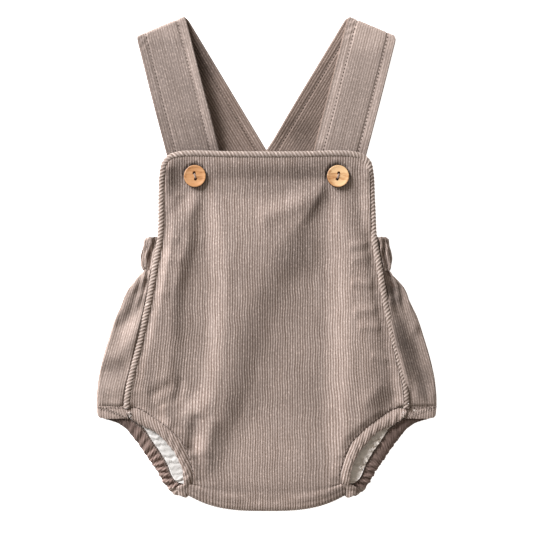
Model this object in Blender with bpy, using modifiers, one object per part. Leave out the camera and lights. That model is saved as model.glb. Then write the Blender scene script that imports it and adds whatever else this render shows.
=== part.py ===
"""Baby's corduroy romper with a bib front, laid flat on its back with its straps folded over.

The garment rests on z = 0. +X is the viewer's right, +Y runs from the crotch to the strap tops,
and +Z points up out of the front. The sizes and tables are in millimetres; MM makes them metres.
Outlines are given for the right half, and `side` (+1 right, -1 left) mirrors them.
"""

import math

import bmesh
import bpy
import numpy as np

MM = 0.001

# Cloth and clearances
CLOTH = 1.2              # one layer of needlecord
STRAP_CLOTH = 2.0        # two layers, sewn and turned
CASING_CLOTH = 1.8       # a gathered channel with its elastic
LINING_CLOTH = 1.0
GAP = 0.4                # between pieces that are sewn together or lie on each other

# Bib and its cord piping
PIPE_RADIUS = 2.2
BIB_TOP = 88.6           # centre line of the piping along the top
CORNER_RADIUS = 8.8      # of the same line, at the bib's corners
TILT_ROOM = 0.4          # more room along the top, where the face tilts towards the piping
HEM = -113.4             # where the side wraps end and the leg casings begin
CROTCH = -198.4          # the lowest point of the outline
CROTCH_HALF = 63.5
CROTCH_RISE = 13.0       # how far the outline climbs at both ends of the crotch
TUCK_END = -189.4        # the front is turned under the crotch up to here
CROTCH_START = -173.6    # the rows of the front begin to bow below this line

# Side folds, where the back comes round to the front
FOLD_RADIUS = 2.6
WAIST_LOW = -5.2
WAIST_GATHER = 0.5       # height of the casing's gathers beside the piping

# Straps
STRAP_WIDTH = 42.0
STRAP_FOLD = (85.3, 189.95)      # middle of the fold at the top
STRAP_FOLD_RADIUS = 3.0
FRONT_LEAN = math.radians(14.4)  # of the part that goes to the button, off the vertical
FOLD_LEAN = math.radians(22.7)   # of the fold line, off the horizontal
FRONT_REACH = 133.0              # from the fold to the end behind the bib
BACK_REACH = 216.0               # from the fold to the end at the back waist
LAYER = STRAP_CLOTH + GAP        # what one strap rises where it crosses another

STRAP_ARCH = 1.8                 # how much higher than its fold the front part arches
ARCH_RISE = 45.0                 # the length over which it rises to that
STRAP_DROP = (112.0, 18.0)       # where the front part starts to go down to the bib, and over what length
STRAP_CLIMB = (43.0, 17.0)       # where the back part climbs on to the waist casing, and over what length
CROSSING_CLEAR = (14.5, 11.5)    # how far from the lower strap's edge the upper one leaves the floor,
                                 # and over what width it rises

# Buttons
BUTTON_RADIUS = 9.0
BUTTON_THICKNESS = 3.2
BUTTON_HOLE_RADIUS = 1.25
BUTTON_HOLE_SPACING = 5.0
BUTTON_RIM = 0.8
BUTTON_PLACE = (57.0, 70.0)
BUTTON_TURN = math.radians(14.0)
BUTTON_SEAT = 7.2                # the bib is pressed down to this height under each button
SEAT_REACH = (19.0, 8.0)         # where the pressed place ends, and over what width it goes down

# Front edges, and the bump over the crossing straps
EDGE_WIDTH = 9.0                 # the face goes down to its seams over this width
LEG_SEAM = 4.9                   # height of the front's leg edge, without its rise
LEG_RISE = 2.2                   # how much the front stands up along the leg openings
LEG_RISE_LOW, LEG_RISE_HIGH = -181.0, -116.0
LEG_RISE_WIDTH = 16.0
BUMP_TOP = 8.5
BUMP_HALF, BUMP_SIDE = 46.0, 34.0
BUMP_LOW, BUMP_LOW_RISE = -16.0, 22.0
BUMP_HIGH, BUMP_HIGH_RISE = 54.0, 26.0
BUMP_STRETCH = 0.55              # share of the folds' height that is pulled out over the bump

# Seat lining
LINING_TOP = -92.0
LINING_HALF = 124.0
LINING_TURN = 1.0                # how far its edge lies inside the back's edge

COLOURS = {
    "corduroy": (0.36, 0.28, 0.245),
    "lining": (0.72, 0.69, 0.66),
    "wood": (0.55, 0.29, 0.14),
}


def table(names, *rows):
    """A short table as a dictionary with one array for each named column."""
    return dict(zip(names.split(), np.array(rows, dtype=float).T))


# Centre line of the piping, up the right side of the front
PIPING = table(
    "y half height",
    (-113.0, 111.7, 5.6),
    (-107.0, 111.2, 5.9),
    (-66.8, 102.2, 6.0),
    (-26.4, 93.4, 6.0),
    (-5.2, 89.7, 5.8),
    (31.2, 84.4, 5.4),
    (52.0, 84.2, 5.4),
    (64.0, 83.8, 6.6),
    (76.0, 82.6, 9.2),
    (79.8, 82.2, 9.7),
)

# The front leg casing, from the crotch up to the piping: its seam with the front, and its free edge
FRONT_LEG = table(
    "seam_x seam_y edge_x edge_y",
    (58.9, -173.6, 66.3, -175.6),
    (58.6, -168.0, 66.9, -171.0),
    (61.6, -155.9, 67.6, -164.2),
    (64.6, -148.0, 69.6, -158.8),
    (68.6, -140.8, 73.0, -152.2),
    (79.2, -130.9, 80.6, -142.4),
    (90.6, -122.9, 89.8, -134.3),
    (99.7, -116.9, 98.2, -130.4),
    (105.2, -114.8, 103.8, -127.4),
)
# Its end beyond the front's corner, under the piping's end
FRONT_LEG_END = {"seam": (113.4, -115.8), "edge": (109.9, -123.0)}

# Height of the front's face along its middle, without its folds
FRONT_FACE = table(
    "y height",
    (-184.0, 6.0),
    (-176.0, 6.4),
    (-164.0, 6.1),
    (-140.0, 4.9),
    (-122.0, 4.4),
    (-110.0, 4.3),
    (-40.0, 4.5),
    (-5.0, 5.4),
    (22.0, 6.2),
    (46.0, 6.2),
    (56.0, 6.3),
    (66.0, 7.3),
    (76.0, 9.2),
    (82.0, 10.4),
    (86.2, 10.8),
)

# The roll of the front round the crotch and under it
CROTCH_ROLL = table(
    "y height",
    (-189.0, 5.4),
    (-193.0, 4.9),
    (-196.2, 4.0),
    (-197.9, 3.0),
    (CROTCH, 1.8),
    (-197.9, 0.7),
    (-196.5, 0.1),
    (-195.0, 0.0),
    (TUCK_END, 0.0),
)

# Folds of the front: each rises at `left`, stays up, and falls at `right`
FRONT_FOLDS = (
    table(
        "y left rise_width right fall_width height",
        (-116.0, -104.0, 10.0, -78.0, 24.0, 0.0),
        (-93.0, -99.0, 12.0, -70.0, 22.0, 2.4),
        (-69.0, -95.0, 12.0, -66.0, 20.0, 2.9),
        (-29.0, -86.0, 12.0, -66.0, 18.0, 3.6),
        (0.0, -81.0, 11.0, -60.0, 18.0, 3.8),
        (16.0, -79.0, 11.0, -56.0, 17.0, 3.8),
        (36.0, -78.0, 10.0, -54.0, 16.0, 2.6),
        (50.0, -82.0, 9.0, -52.0, 14.0, 1.5),
        (62.0, -84.0, 9.0, -50.0, 13.0, 0.0),
    ),
    table(
        "y left rise_width right fall_width height",
        (-172.0, -54.0, 12.0, -42.0, 18.0, 0.0),
        (-152.0, -52.0, 13.0, -34.0, 24.0, 2.4),
        (-138.0, -53.0, 18.0, -29.0, 28.0, 3.2),
        (-122.0, -60.0, 30.0, -22.0, 32.0, 3.9),
        (-101.0, -48.0, 21.0, -14.0, 38.0, 4.5),
        (-69.0, -42.0, 19.0, -4.0, 46.0, 4.9),
        (-40.0, -40.0, 20.0, 8.0, 56.0, 5.0),
        (-13.0, -38.5, 21.0, 20.0, 54.0, 4.9),
        (11.0, -39.5, 20.0, 29.0, 46.0, 4.4),
        (30.0, -41.5, 15.0, 33.0, 22.0, 3.2),
        (45.0, -43.5, 11.0, 41.0, 13.0, 2.4),
        (60.0, -46.8, 8.0, 47.0, 9.0, 1.2),
        (68.0, -47.0, 8.0, 49.0, 9.0, 0.0),
    ),
    table(
        "y left rise_width right fall_width height",
        (-172.0, 55.0, 16.0, 72.0, 24.0, 0.0),
        (-150.0, 55.0, 20.0, 84.0, 36.0, 3.4),
        (-125.0, 55.0, 24.0, 98.0, 48.0, 4.9),
        (-69.0, 57.0, 26.0, 106.0, 56.0, 5.3),
        (0.0, 57.0, 23.0, 98.0, 46.0, 4.5),
        (30.0, 55.5, 17.0, 88.0, 34.0, 3.2),
        (48.0, 54.5, 12.0, 80.0, 22.0, 1.8),
        (62.0, 53.0, 8.0, 68.0, 12.0, 0.0),
    ),
)

# The fold that stands up along the right wrap
WRAP_FOLD = table(
    "y height",
    (HEM, 0.0),
    (-104.0, 0.8),
    (-93.0, 2.0),
    (-80.0, 2.8),
    (-47.0, 2.8),
    (-37.0, 1.4),
    (-24.0, 1.9),
    (WAIST_LOW, 0.3),
)

# Half the width of the laid garment below the waist, out to the side fold
SIDE = table(
    "y half",
    (-123.6, 136.4),
    (-108.8, 136.4),
    (-96.0, 135.6),
    (-83.2, 133.2),
    (-70.4, 130.0),
    (-57.6, 126.0),
    (-44.8, 122.0),
    (-32.0, 116.4),
    (-25.6, 114.0),
    (-19.2, 110.8),
    (-12.8, 106.0),
    (-5.6, 99.6),
)

WAIST_SIDE = table(
    "y half",
    (-5.2, 99.6),
    (-1.0, 100.9),
    (5.0, 101.3),
    (11.0, 100.2),
    (16.0, 98.4),
    (19.2, 98.0),
    (21.6, 98.8),
)

# The back's lower edge along the leg, from the crotch out to the side fold
BACK_LEG = table(
    "x y",
    (64.0, -175.0),
    (71.0, -173.4),
    (75.0, -168.6),
    (78.6, -160.4),
    (84.6, -150.0),
    (91.5, -140.0),
    (98.4, -129.8),
    (106.0, -124.2),
    (115.0, -119.2),
    (125.0, -115.4),
    (133.8, HEM),
)

# The back leg casing: along the wrap's hem on top, round the side fold, and down the leg on the floor.
# `turn` is the angle round the fold in degrees, 0 on top and 180 below.
BACK_CASING = table(
    "seam_x seam_y edge_x edge_y turn",
    (114.8, -113.9, 110.7, -123.5, 0),
    (120.5, -113.9, 118.5, -123.7, 0),
    (127.0, -113.9, 126.4, -123.8, 0),
    (133.8, -113.9, 133.8, -123.6, 0),
    (133.8, -113.9, 133.8, -123.6, 45),
    (133.8, -113.9, 133.8, -123.5, 90),
    (133.8, -114.1, 133.8, -123.6, 135),
    (133.8, -114.3, 133.8, -123.8, 180),
    (128.0, -115.2, 128.2, -124.9, 180),
    (121.5, -117.6, 120.8, -127.2, 180),
    (114.6, -120.6, 113.0, -132.2, 180),
    (106.2, -125.2, 107.6, -138.6, 180),
    (99.0, -130.6, 102.2, -145.6, 180),
    (92.2, -140.9, 97.2, -152.8, 180),
    (85.2, -150.9, 92.2, -160.2, 180),
    (79.2, -161.2, 88.0, -166.2, 180),
    (76.2, -169.2, 84.2, -173.2, 180),
    (73.2, -173.6, 79.6, -179.4, 180),
    (69.6, -175.2, 74.4, -184.8, 180),
    (64.3, -176.3, 64.6, -187.0, 180),
)


def smooth(xs, ys, at):
    """A curve through the points that never swings past them, read at `at`. `xs` rises."""
    step = np.diff(xs)
    slope = np.diff(ys) / step
    tangent = np.empty(len(xs))
    tangent[0], tangent[-1] = slope[0], slope[-1]
    product = slope[:-1] * slope[1:]
    total = slope[:-1] + slope[1:]
    tangent[1:-1] = np.where(product > 0, 2 * product / np.where(total == 0, 1, total), 0)
    i = int(np.clip(np.searchsorted(xs, at) - 1, 0, len(xs) - 2))
    t = min(max((at - xs[i]) / step[i], 0.0), 1.0)
    bend = step[i] * (tangent[i] * t * (1 - t) ** 2 - tangent[i + 1] * t * t * (1 - t))
    return ys[i] + (ys[i + 1] - ys[i]) * ease(t) + bend


def ease(t):
    """0 below t = 0, 1 above t = 1, and an S between."""
    t = min(max(t, 0.0), 1.0)
    return t * t * (3 - 2 * t)


def shifted(xs, ys, distance):
    """The line through these points moved sideways, each point along its own normal."""
    dx, dy = np.gradient(xs), np.gradient(ys)
    length = np.hypot(dx, dy)
    return xs + distance * dy / length, ys - distance * dx / length


PANEL_LEG_X, PANEL_LEG_Y = shifted(FRONT_LEG["seam_x"], FRONT_LEG["seam_y"], -GAP / 2)
CASING_SEAM_X, CASING_SEAM_Y = shifted(FRONT_LEG["seam_x"], FRONT_LEG["seam_y"], GAP / 2)


def piping_half(y):
    return smooth(PIPING["y"], PIPING["half"], y)


def piping_height(y):
    return smooth(PIPING["y"], PIPING["height"], y)


def front_half(y):
    """Half the width of the front panel at height y: bib corner, side seam, then leg edge."""
    corner_y = BIB_TOP - CORNER_RADIUS
    if y > corner_y:
        radius = CORNER_RADIUS - PIPE_RADIUS - GAP
        rise = min(y - corner_y, radius)
        return piping_half(corner_y) - CORNER_RADIUS + math.sqrt(radius ** 2 - rise ** 2)
    if y >= PIPING["y"][0]:
        return piping_half(y) - PIPE_RADIUS - GAP
    ys = [CROTCH, *PANEL_LEG_Y, PIPING["y"][0]]
    halves = [CROTCH_HALF, *PANEL_LEG_X, piping_half(ys[-1]) - PIPE_RADIUS - GAP]
    return smooth(np.array(ys), np.array(halves), y)


def leg_rise(y):
    return (LEG_RISE * ease((LEG_RISE_HIGH - y) / LEG_RISE_WIDTH)
            * ease((y - LEG_RISE_LOW) / LEG_RISE_WIDTH))


def fold_height(fold, x, y):
    """What one fold adds to the front's face at (x, y). It falls steeply first, then tails off."""
    left, rise, right, fall, height = (
        smooth(fold["y"], fold[name], y)
        for name in ("left", "rise_width", "right", "fall_width", "height"))
    fallen = (x - right) / fall + 0.5
    return height * (ease((x - left) / rise + 0.5) - 0.5 * ease(fallen) - 0.5 * ease(1.7 * fallen))


def front_top(x, y):
    """Height of the front panel's face: the straps under its waist, its folds, edges and buttons."""
    over_straps = (ease((BUMP_HALF - abs(x)) / BUMP_SIDE) * ease((y - BUMP_LOW) / BUMP_LOW_RISE)
                   * ease((BUMP_HIGH - y) / BUMP_HIGH_RISE))
    height = smooth(FRONT_FACE["y"], FRONT_FACE["height"], y)
    height += (BUMP_TOP - height) * over_straps
    folds = sum(fold_height(fold, x, y) for fold in FRONT_FOLDS)
    height += (1 - BUMP_STRETCH * over_straps) * folds
    seam = piping_height(y) + 0.1 if y > HEM else LEG_SEAM + leg_rise(y)
    height = seam + (height - seam) * ease((front_half(y) - abs(x)) / EDGE_WIDTH)
    reach, width = SEAT_REACH
    from_button = math.hypot(abs(x) - BUTTON_PLACE[0], y - BUTTON_PLACE[1])
    return height + min(BUTTON_SEAT - height, 0) * ease((reach - from_button) / width)


def crotch_bow(x):
    """How far the outline at the crotch climbs from the middle out to x."""
    return CROTCH_RISE * abs(x / CROTCH_HALF) ** 3


def back_edge(x):
    """Where the back ends at x: at the tuck of the front under the crotch, or at the leg casing."""
    if abs(x) < BACK_LEG["x"][0] - 3:
        return TUCK_END + crotch_bow(x) + 2 * GAP
    return smooth(BACK_LEG["x"], BACK_LEG["y"], abs(x))


def make_material(name, colour, roughness):
    material = bpy.data.materials.new(name)
    material.use_nodes = True
    shader = material.node_tree.nodes["Principled BSDF"]
    shader.inputs["Base Color"].default_value = (*colour, 1.0)
    shader.inputs["Roughness"].default_value = roughness
    shader.inputs["Metallic"].default_value = 0.0
    return material


def add_object(name, data, collection, kind, roughness=0.9):
    piece = bpy.data.objects.new(name, data)
    data.materials.append(make_material(name, COLOURS[kind], roughness))
    collection.objects.link(piece)
    return piece


def sheet(name, across, along, place, thickness, collection, kind="corduroy"):
    """A wall of cloth. `place(a, b)` gives its outer face; the wall grows inwards from there.

    Seen from outside, `across` runs to the right and `along` runs up.
    """
    bm = bmesh.new()
    columns, rows = len(across) - 1, len(along) - 1
    bmesh.ops.create_grid(bm, x_segments=columns, y_segments=rows, size=0.5)
    for vertex in bm.verts:
        i = round((vertex.co.x + 0.5) * columns)
        j = round((vertex.co.y + 0.5) * rows)
        vertex.co = [value * MM for value in place(across[i], along[j])]
    mesh = bpy.data.meshes.new(name)
    bm.to_mesh(mesh)
    bm.free()
    mesh.shade_smooth()
    mesh.set_sharp_from_angle(angle=math.radians(40))
    piece = add_object(name, mesh, collection, kind)
    wall = piece.modifiers.new("Wall", "SOLIDIFY")
    wall.thickness = thickness * MM
    wall.offset = -1.0
    wall.use_even_offset = True
    return piece


def make_front(collection):
    """The bib and the front of the bloomers, one panel, rolled under at the crotch."""
    columns = np.linspace(-1, 1, 23)
    corner_y, radius = BIB_TOP - CORNER_RADIUS, CORNER_RADIUS - PIPE_RADIUS - GAP
    bib_rows = [corner_y + (radius - TILT_ROOM) * math.sin(math.radians(angle))
                for angle in (90, 60, 30, 0)]
    side_rows = list(np.linspace(73, PIPING["y"][0], 17))
    leg_rows = [*PANEL_LEG_Y[::-1], -181.0]
    face_rows = [(y, None) for y in bib_rows + side_rows + leg_rows]
    roll_rows = list(zip(CROTCH_ROLL["y"], CROTCH_ROLL["height"]))
    rows = (face_rows + roll_rows)[::-1]

    def place(across, row):
        y, height = row
        x = across * front_half(y)
        if height is None:
            bow = crotch_bow(x) * ease((CROTCH_START - y) / (CROTCH_START - CROTCH_ROLL["y"][0]))
            return x, y + bow, front_top(x, y)
        return x, y + crotch_bow(x), height

    return sheet("front_panel", columns, rows, place, CLOTH, collection)


def wrapped_section(reach, half, inner, radius, top):
    """A point on a section that lies on the floor, turns at the side fold and comes back on top.

    `reach` is 0 in the middle of the floor part, 1 at the fold's start, 2 at its end, and 3 at the
    seam on top, `inner` from the middle.
    """
    side = math.copysign(1, reach)
    reach = abs(reach)
    straight = half - radius
    if reach <= 1:
        return side * straight * reach, 0.0
    if reach <= 2:
        turn = math.pi * (reach - 1)
        return side * (straight + radius * math.sin(turn)), radius * (1 - math.cos(turn))
    part = reach - 2
    return side * (straight + (inner - straight) * part), 2 * radius + (top - 2 * radius) * ease(part)


def section_reaches(floor, fold, top):
    """The reaches of a wrapped section's columns, from the left seam round to the right one."""
    right = [*np.linspace(0, 1, floor + 1), *np.linspace(1, 2, fold + 1)[1:],
             *np.linspace(2, 3, top + 1)[1:]]
    return [-reach for reach in right[:0:-1]] + right


def make_back(collection):
    """The back of the bloomers, which comes round both sides to the piping."""

    def lower_edge(reach):
        return HEM if abs(reach) >= 1 else back_edge((SIDE["half"][0] - FOLD_RADIUS) * abs(reach))

    def place(reach, part):
        y = WAIST_LOW - GAP + part * (lower_edge(reach) - WAIST_LOW + GAP)
        row = max(y, HEM)
        half = smooth(SIDE["y"], SIDE["half"], row)
        inner = piping_half(row) + PIPE_RADIUS + GAP
        x, z = wrapped_section(reach, half, inner, FOLD_RADIUS, piping_height(row) + 0.5)
        if reach > 2:
            z += smooth(WRAP_FOLD["y"], WRAP_FOLD["height"], row) * math.sin(math.pi * (reach - 2))
        return x, y, z

    return sheet("back_panel", section_reaches(12, 5, 3), np.linspace(0, 1, 12), place, CLOTH,
                 collection)


def make_waist_casing(collection):
    """The elastic casing and its frill along the back waist, out to the piping on both sides."""

    def place(reach, y):
        half = smooth(WAIST_SIDE["y"], WAIST_SIDE["half"], y)
        inner = piping_half(y) + PIPE_RADIUS + GAP
        x, z = wrapped_section(reach, half, inner, FOLD_RADIUS + 0.1, piping_height(y))
        gather = WAIST_GATHER * math.sin(math.pi * 2 * (abs(reach) - 2)) if abs(reach) > 2 else 0.0
        return x, y, z + gather

    return sheet("waist_casing", section_reaches(7, 5, 4), WAIST_SIDE["y"][::-1], place, CASING_CLOTH,
                 collection)


def make_lining(collection):
    """The seat lining, which shows in the leg openings."""

    def place(x, part):
        bottom = back_edge(x) + LINING_TURN
        return x, LINING_TOP + part * (bottom - LINING_TOP), CLOTH + GAP + LINING_CLOTH

    return sheet("lining", np.linspace(-LINING_HALF, LINING_HALF, 29), np.linspace(1, 0, 5), place,
                 LINING_CLOTH, collection, "lining")


def make_strap(name, side, collection):
    """A strap: from behind the bib up to the fold, then down under itself to the back waist."""
    lean = np.array([math.sin(FRONT_LEAN), -math.cos(FRONT_LEAN)])
    cross = np.array([math.cos(FRONT_LEAN), math.sin(FRONT_LEAN)])
    away = np.array([math.sin(FOLD_LEAN), -math.cos(FOLD_LEAN)])
    along_fold = np.array([math.cos(FOLD_LEAN), math.sin(FOLD_LEAN)])
    axis = np.array([-STRAP_FOLD[0], STRAP_FOLD[1]]) + STRAP_FOLD_RADIUS * away
    turn_length = math.pi * STRAP_FOLD_RADIUS
    back_lean = 2 * FOLD_LEAN - FRONT_LEAN
    back_start = axis - turn_length * away
    crossing_y = back_start[1] + back_start[0] / math.tan(back_lean)
    is_upper = side > 0

    def place(width, length):
        """The left strap's outer face, `length` before (+) or after (-) the fold."""
        flat = length * lean + width * cross
        out, sideways = flat @ away, flat @ along_fold
        if out >= 0:
            plan = axis + out * away + sideways * along_fold
            arch = 2 * STRAP_FOLD_RADIUS + STRAP_ARCH * ease(out / ARCH_RISE)
            low = GAP + 2 * STRAP_CLOTH
            start, length_down = STRAP_DROP
            height = arch + (low - arch) * ease((start - plan[1]) / length_down)
        elif out > -turn_length:
            angle = -out / STRAP_FOLD_RADIUS
            plan = axis - STRAP_FOLD_RADIUS * math.sin(angle) * away + sideways * along_fold
            height = STRAP_FOLD_RADIUS * (1 + math.cos(angle))
        else:
            plan = axis + (-out - turn_length) * away + sideways * along_fold
            start, length_up = STRAP_CLIMB
            height = (CASING_CLOTH + GAP) * ease((start - plan[1]) / length_up)
            if is_upper:
                from_other = abs(plan[0] * math.cos(back_lean)
                                 - (plan[1] - crossing_y) * math.sin(back_lean))
                clear, rise = CROSSING_CLEAR
                height += LAYER * ease((STRAP_WIDTH / 2 + clear - from_other) / rise)
        return -side * plan[0], plan[1], height

    widths = np.linspace(-0.5, 0.5, 6) * STRAP_WIDTH * -side
    turn = np.linspace(-turn_length - 3, 3, 8)
    lengths = np.concatenate([np.linspace(-BACK_REACH, turn[0] - 8, 25), turn,
                              np.linspace(turn[-1] + 10, FRONT_REACH, 11)])
    return sheet(name, widths, lengths[::-1], place, STRAP_CLOTH, collection)


def make_piping(collection):
    """The cord piping, up one side of the front, over the bib and down the other side."""
    corner_y = BIB_TOP - CORNER_RADIUS
    corner_x = piping_half(corner_y) - CORNER_RADIUS
    side_ys = np.linspace(PIPING["y"][0], corner_y, 20)
    right = [(piping_half(y), y, piping_height(y)) for y in side_ys]
    for angle in np.radians([22.5, 45, 67.5, 90]):
        right.append((corner_x + CORNER_RADIUS * math.cos(angle),
                      corner_y + CORNER_RADIUS * math.sin(angle), piping_height(corner_y)))
    right.append((corner_x / 3, BIB_TOP, piping_height(corner_y)))
    points = [(-x, y, z) for x, y, z in right] + right[::-1]
    curve = bpy.data.curves.new("piping", "CURVE")
    curve.dimensions = "3D"
    curve.bevel_depth = PIPE_RADIUS * MM
    curve.bevel_resolution = 2
    curve.use_fill_caps = True
    spline = curve.splines.new("POLY")
    spline.points.add(len(points) - 1)
    for point, place in zip(spline.points, points):
        point.co = [value * MM for value in place] + [1.0]
    return add_object("piping", curve, collection, "corduroy")


def make_front_casing(name, side, collection):
    """The elastic casing along the front's leg edge."""
    seam = [*zip(CASING_SEAM_X, CASING_SEAM_Y), FRONT_LEG_END["seam"]]
    edge = [*zip(FRONT_LEG["edge_x"], FRONT_LEG["edge_y"]), FRONT_LEG_END["edge"]]

    def place(part, row):
        x, y = (a + (b - a) * part for a, b in zip(seam[row], edge[row]))
        return side * x, y, LEG_SEAM + leg_rise(seam[row][1]) + 0.5 * math.sin(math.pi * part)

    order = range(len(seam))
    return sheet(name, np.linspace(0, 1, 5), order if side > 0 else order[::-1], place, CASING_CLOTH,
                 collection)


def make_back_casing(name, side, collection):
    """The elastic casing along the back's leg edge, from the piping round the side to the crotch."""
    rows = BACK_CASING

    def place(part, index):
        seam, edge = ((rows[end + "_x"][index], rows[end + "_y"][index]) for end in ("seam", "edge"))
        x, y = (a + (b - a) * part for a, b in zip(seam, edge))
        turn = math.radians(rows["turn"][index])
        x += FOLD_RADIUS * math.sin(turn)
        return side * x, y, FOLD_RADIUS * (1 + math.cos(turn))

    order = range(len(rows["turn"]))
    return sheet(name, np.linspace(0, 1, 4), order[::-1] if side < 0 else order, place,
                 CASING_CLOTH, collection)


def cylinder(radius, depth, segments, place):
    """A mesh for an upright cylinder with its middle at `place`, in millimetres."""
    bm = bmesh.new()
    bmesh.ops.create_cone(bm, cap_ends=True, segments=segments, radius1=radius * MM,
                          radius2=radius * MM, depth=depth * MM)
    bmesh.ops.translate(bm, verts=bm.verts, vec=[value * MM for value in place])
    mesh = bpy.data.meshes.new("cylinder")
    bm.to_mesh(mesh)
    bm.free()
    return mesh


def make_button(name, side, collection, cutters):
    """A flat wooden button with two holes, on the front panel's face."""
    x, y = side * BUTTON_PLACE[0], BUTTON_PLACE[1]
    rim = [(x + BUTTON_RADIUS * part * math.cos(angle), y + BUTTON_RADIUS * part * math.sin(angle))
           for part in (0.5, 1.0) for angle in np.linspace(0, 2 * math.pi, 16, endpoint=False)]
    seat = max(front_top(*point) for point in rim) + GAP
    disc = cylinder(BUTTON_RADIUS, BUTTON_THICKNESS, 32, (0, 0, 0))
    button = add_object(name, disc, collection, "wood", 0.5)
    button.location = (x * MM, y * MM, (seat + BUTTON_THICKNESS / 2) * MM)
    button.rotation_euler.z = side * -BUTTON_TURN
    rounding = button.modifiers.new("Rim", "BEVEL")
    rounding.width = BUTTON_RIM * MM
    rounding.segments = 2
    rounding.angle_limit = math.radians(40)
    for end in (-1, 1):
        hole = bpy.data.objects.new(name + "_hole", cylinder(
            BUTTON_HOLE_RADIUS, BUTTON_THICKNESS * 2, 12, (0, end * BUTTON_HOLE_SPACING / 2, 0)))
        hole.parent = button
        hole.hide_render = True
        hole.display_type = "WIRE"
        cutters.objects.link(hole)
        cut = button.modifiers.new("Hole", "BOOLEAN")
        cut.operation = "DIFFERENCE"
        cut.object = hole
    disc.shade_smooth()
    disc.set_sharp_from_angle(angle=math.radians(35))
    return button


def main():
    for item in list(bpy.data.objects):
        bpy.data.objects.remove(item, do_unlink=True)
    romper = bpy.data.collections.new("corduroy_romper")
    cutters = bpy.data.collections.new("cutters")
    for collection in (romper, cutters):
        bpy.context.scene.collection.children.link(collection)

    make_back(romper)
    make_waist_casing(romper)
    make_lining(romper)
    make_front(romper)
    make_piping(romper)
    for side, hand in ((-1, "left"), (1, "right")):
        make_strap(f"strap_{hand}", side, romper)
        make_front_casing(f"front_leg_casing_{hand}", side, romper)
        make_back_casing(f"back_leg_casing_{hand}", side, romper)
        make_button(f"button_{hand}", side, romper, cutters)


main()
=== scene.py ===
# %% [markdown]
# # A baby's corduroy romper, laid flat
#
# The garment is a bib and bloomers in fine corduroy. It lies on its back with its two straps folded
# over at the top, and it is seen from straight above. The construction model gives every sewn piece
# its place and size. This script makes what the eye sees on top of that: ribs, folds, gathers,
# stitches, piping and wooden buttons.

# %% Load the construction
import math

import bmesh
import bpy
import numpy as np
from mathutils.bvhtree import BVHTree
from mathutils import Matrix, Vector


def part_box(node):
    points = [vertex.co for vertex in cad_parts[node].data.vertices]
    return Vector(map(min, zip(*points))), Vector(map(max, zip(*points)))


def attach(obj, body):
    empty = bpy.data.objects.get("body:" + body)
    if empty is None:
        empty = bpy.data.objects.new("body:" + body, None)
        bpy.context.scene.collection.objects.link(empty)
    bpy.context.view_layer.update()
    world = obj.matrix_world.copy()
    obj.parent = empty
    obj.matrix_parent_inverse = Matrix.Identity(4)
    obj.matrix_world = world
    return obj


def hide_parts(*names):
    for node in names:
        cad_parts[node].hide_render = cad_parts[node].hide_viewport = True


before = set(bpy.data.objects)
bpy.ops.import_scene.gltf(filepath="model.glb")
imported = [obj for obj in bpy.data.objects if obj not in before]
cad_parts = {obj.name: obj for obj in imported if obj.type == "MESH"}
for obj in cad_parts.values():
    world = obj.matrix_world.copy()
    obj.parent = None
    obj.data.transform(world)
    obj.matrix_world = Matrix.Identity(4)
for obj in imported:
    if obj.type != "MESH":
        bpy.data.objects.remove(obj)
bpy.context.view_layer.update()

HANDS = ((-1, "left"), (1, "right"))     # each side's sign of x, and its name

# %% [markdown]
# ## Camera, light and table
#
# A laid garment is seen from above with a long lens, so that its edges don't lean outwards. The light
# comes from a large window to the upper left, low enough to draw every rib and fold, and a pale room
# fills the shadows. A bigger lamp gives softer shadows and a lower one gives longer shadows, and those
# two choices shape all the cloth.

# %% Camera
MM = 0.001
LENS_MM, SENSOR_MM = 85.0, 36.0
VIEW_WIDTH_MM = 426.4          # what the camera sees from side to side at the height of the cloth
VIEW_CENTRE_MM = (0.0, -2.0)
CLOTH_HEIGHT_MM = 5.0


def add_object(name, data):
    """A new object in the scene."""
    made = bpy.data.objects.new(name, data)
    bpy.context.scene.collection.objects.link(made)
    return made


camera_data = bpy.data.cameras.new("camera")
camera_data.lens, camera_data.sensor_width = LENS_MM, SENSOR_MM
camera_height = VIEW_WIDTH_MM * LENS_MM / SENSOR_MM + CLOTH_HEIGHT_MM
camera = add_object("camera", camera_data)
camera.location = (VIEW_CENTRE_MM[0] * MM, VIEW_CENTRE_MM[1] * MM, camera_height * MM)
bpy.context.scene.camera = camera
print("camera height in mm:", round(camera_height))

# %% Light and table


def linear(hex_colour):
    """An sRGB colour such as "a29088" as the linear values that shaders work with, and full alpha."""
    channels = [int(hex_colour[i:i + 2], 16) / 255 for i in (0, 2, 4)]
    return (*(c / 12.92 if c <= 0.04045 else ((c + 0.055) / 1.055) ** 2.4 for c in channels), 1.0)


def add_lamp(name, azimuth, elevation, distance, size, power, colour):
    """A square area light that faces the middle of the garment. Azimuth 90 is beyond its top."""
    data = bpy.data.lights.new(name, "AREA")
    data.shape, data.size, data.energy, data.color = "SQUARE", size, power, linear(colour)[:3]
    lamp = add_object(name, data)
    a, e = math.radians(azimuth), math.radians(elevation)
    towards = [math.cos(a) * math.cos(e), math.sin(a) * math.cos(e), math.sin(e)]
    lamp.location = [value * distance for value in towards]
    lamp.rotation_euler = (math.pi / 2 - e, 0, a + math.pi / 2)


add_lamp("window", azimuth=139, elevation=26, distance=1.6, size=0.8, power=65, colour="f9faff")
world = bpy.data.worlds.new("room")
world.use_nodes = True
room = world.node_tree.nodes["Background"].inputs
room["Color"].default_value = linear("fff7ed")
room["Strength"].default_value = 0.33
bpy.context.scene.world = world
bpy.context.scene.view_settings.view_transform = "Standard"

# %% [markdown]
# ## How a material is made here
#
# Shader and geometry trees are both built in code. One small function adds a node, fills its inputs
# with values or links, and gives back its result. A tree then reads from top to bottom as a list of
# steps, which is easier to follow and change than a sheet full of wires.

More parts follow.
